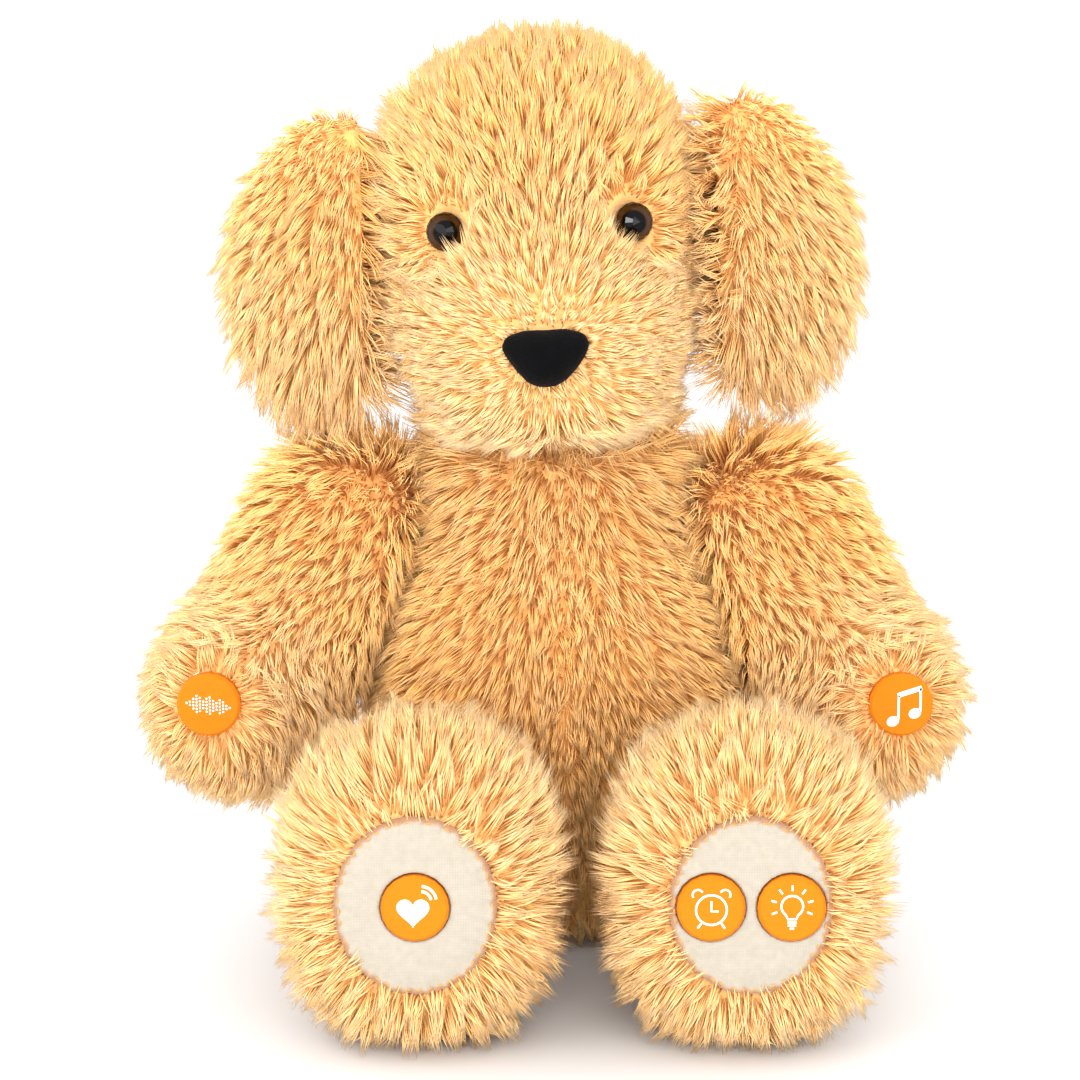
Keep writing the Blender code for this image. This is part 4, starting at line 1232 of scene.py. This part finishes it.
def print_sign(button, ink):
    """Raises the button's sign from its front face."""
    low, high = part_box(button)
    cx, cz, face = (low.x + high.x) / 2, (low.z + high.z) / 2, low.y
    outlines, lines = SIGNS[button]
    work = bmesh.new()

    def put(x, z):
        return work.verts.new((cx + x * MM, face - INK, cz + z * MM))

    for outline in outlines:
        work.faces.new([put(x, z) for x, z in outline])
    for path, width, closed in lines:
        left, right = band(path, width, closed)
        ones, twos = [put(*p) for p in left], [put(*p) for p in right]
        for i in range(len(path) if closed else len(path) - 1):
            j = (i + 1) % len(path)
            work.faces.new((ones[i], ones[j], twos[j], twos[i]))
    grown = bmesh.ops.extrude_face_region(work, geom=work.faces[:])
    back = [item for item in grown["geom"] if isinstance(item, bmesh.types.BMVert)]
    bmesh.ops.translate(work, verts=back, vec=(0, INK + 0.15 * MM, 0))
    bmesh.ops.recalc_face_normals(work, faces=work.faces)
    mesh = bpy.data.meshes.new(button + "_sign")
    work.to_mesh(mesh)
    work.free()
    piece = add_piece(button + "_sign", mesh)
    mesh.materials.append(ink)
    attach(piece, button)
    return piece


disc_cloth, ink = make_disc_cloth(), make_ink()
for button in SIGNS:
    dress(button, disc_cloth)
    sign = print_sign(button, ink)
    print(sign.name, len(sign.data.polygons), "faces")

# %% [markdown]
# ## Everything inside
#
# Open the back seam and there is fibre, a bag of beans in the seat, and a sound box with its board, speaker and
# cells. None of it shows from outside, but each part keeps its frame shape and gets its own finish: a mottled
# two-tone with a little relief, set by how coarse, how rough and how metallic the real stuff is.


# %% Finishes for the inner parts
def make_mottle_group():
    """Two scales of noise as one mask, shared by all the inner finishes."""
    group = bpy.data.node_groups.new("mottle", "ShaderNodeTree")
    for label, side, kind in (("Vector", "INPUT", "Vector"), ("Coarse", "INPUT", "Float"), ("Fine", "INPUT", "Float"),
                              ("Mask", "OUTPUT", "Float"), ("Height", "OUTPUT", "Float")):
        group.interface.new_socket(label, in_out=side, socket_type="NodeSocket" + kind)
    entry = node(group, "NodeGroupInput")
    big = noise(group, entry.outputs["Vector"], entry.outputs["Coarse"])
    small = noise(group, entry.outputs["Vector"], entry.outputs["Fine"], 4.0)
    leave = node(group, "NodeGroupOutput")
    group.links.new(maths(group, "MULTIPLY_ADD", big, 0.6, times(group, small, 0.4)), leave.inputs["Mask"])
    group.links.new(small, leave.inputs["Height"])
    return group


mottle = make_mottle_group()


def mottled(name, dark, light, coarse, fine, roughness, metallic, relief):
    material, tree = new_material(name, roughness, metallic=metallic)
    worn = node(tree, "ShaderNodeGroup", {"node_tree": mottle}, Vector=own_place(tree), Coarse=coarse, Fine=fine)
    colour = mixed(tree, worn.outputs["Mask"], shade(*dark), shade(*light))
    wear(material, colour, height=worn.outputs["Height"], depth=relief)
    return material


# Each finish: words in the names of its nodes, then dark and light shade, coarse and fine grain, roughness,
# metal and relief.
INNER = {
    "loose fibre": (("stuffing",),
        (226, 226, 224), (250, 250, 250), 120.0, 1400.0, 0.95, 0.0, 0.8 * MM),
    "bean bag canvas": (("seat_bean_bag",),
        (196, 186, 164), (226, 218, 200), 200.0, 1800.0, 0.9, 0.0, 0.3 * MM),
    "hook and loop": (("tape",),
        (206, 172, 112), (236, 208, 150), 300.0, 2600.0, 0.9, 0.0, 0.6 * MM),
    "moulded case": (("sound_box", "battery_door"),
        (214, 214, 210), (236, 236, 232), 60.0, 2200.0, 0.5, 0.0, 0.05 * MM),
    "circuit board": (("circuit_board",),
        (12, 74, 34), (30, 116, 56), 500.0, 3000.0, 0.4, 0.0, 0.1 * MM),
    "cell sleeve": (("battery_1", "battery_2", "battery_3"),
        (28, 28, 32), (58, 58, 66), 80.0, 900.0, 0.35, 0.0, 0.03 * MM),
    "speaker cone": (("speaker",),
        (20, 20, 22), (48, 48, 50), 300.0, 2400.0, 0.7, 0.0, 0.2 * MM),
    "frosted lens": (("night_light_lens",),
        (236, 232, 214), (252, 250, 240), 60.0, 1600.0, 0.35, 0.0, 0.03 * MM),
    "zinc steel": (("battery_door_screw",),
        (150, 152, 156), (196, 198, 202), 400.0, 3200.0, 0.35, 1.0, 0.03 * MM),
    "washer plastic": (("washer", "switch"),
        (224, 224, 222), (242, 242, 240), 90.0, 1800.0, 0.5, 0.0, 0.05 * MM),
}
dressed = []
for finish, (words, *numbers) in INNER.items():
    material = mottled(finish, *numbers)
    for name in frame["nodes"]:
        if name not in dressed and any(word in name for word in words):
            dress(name, material)
            dressed.append(name)
print("inner parts dressed:", len(dressed))
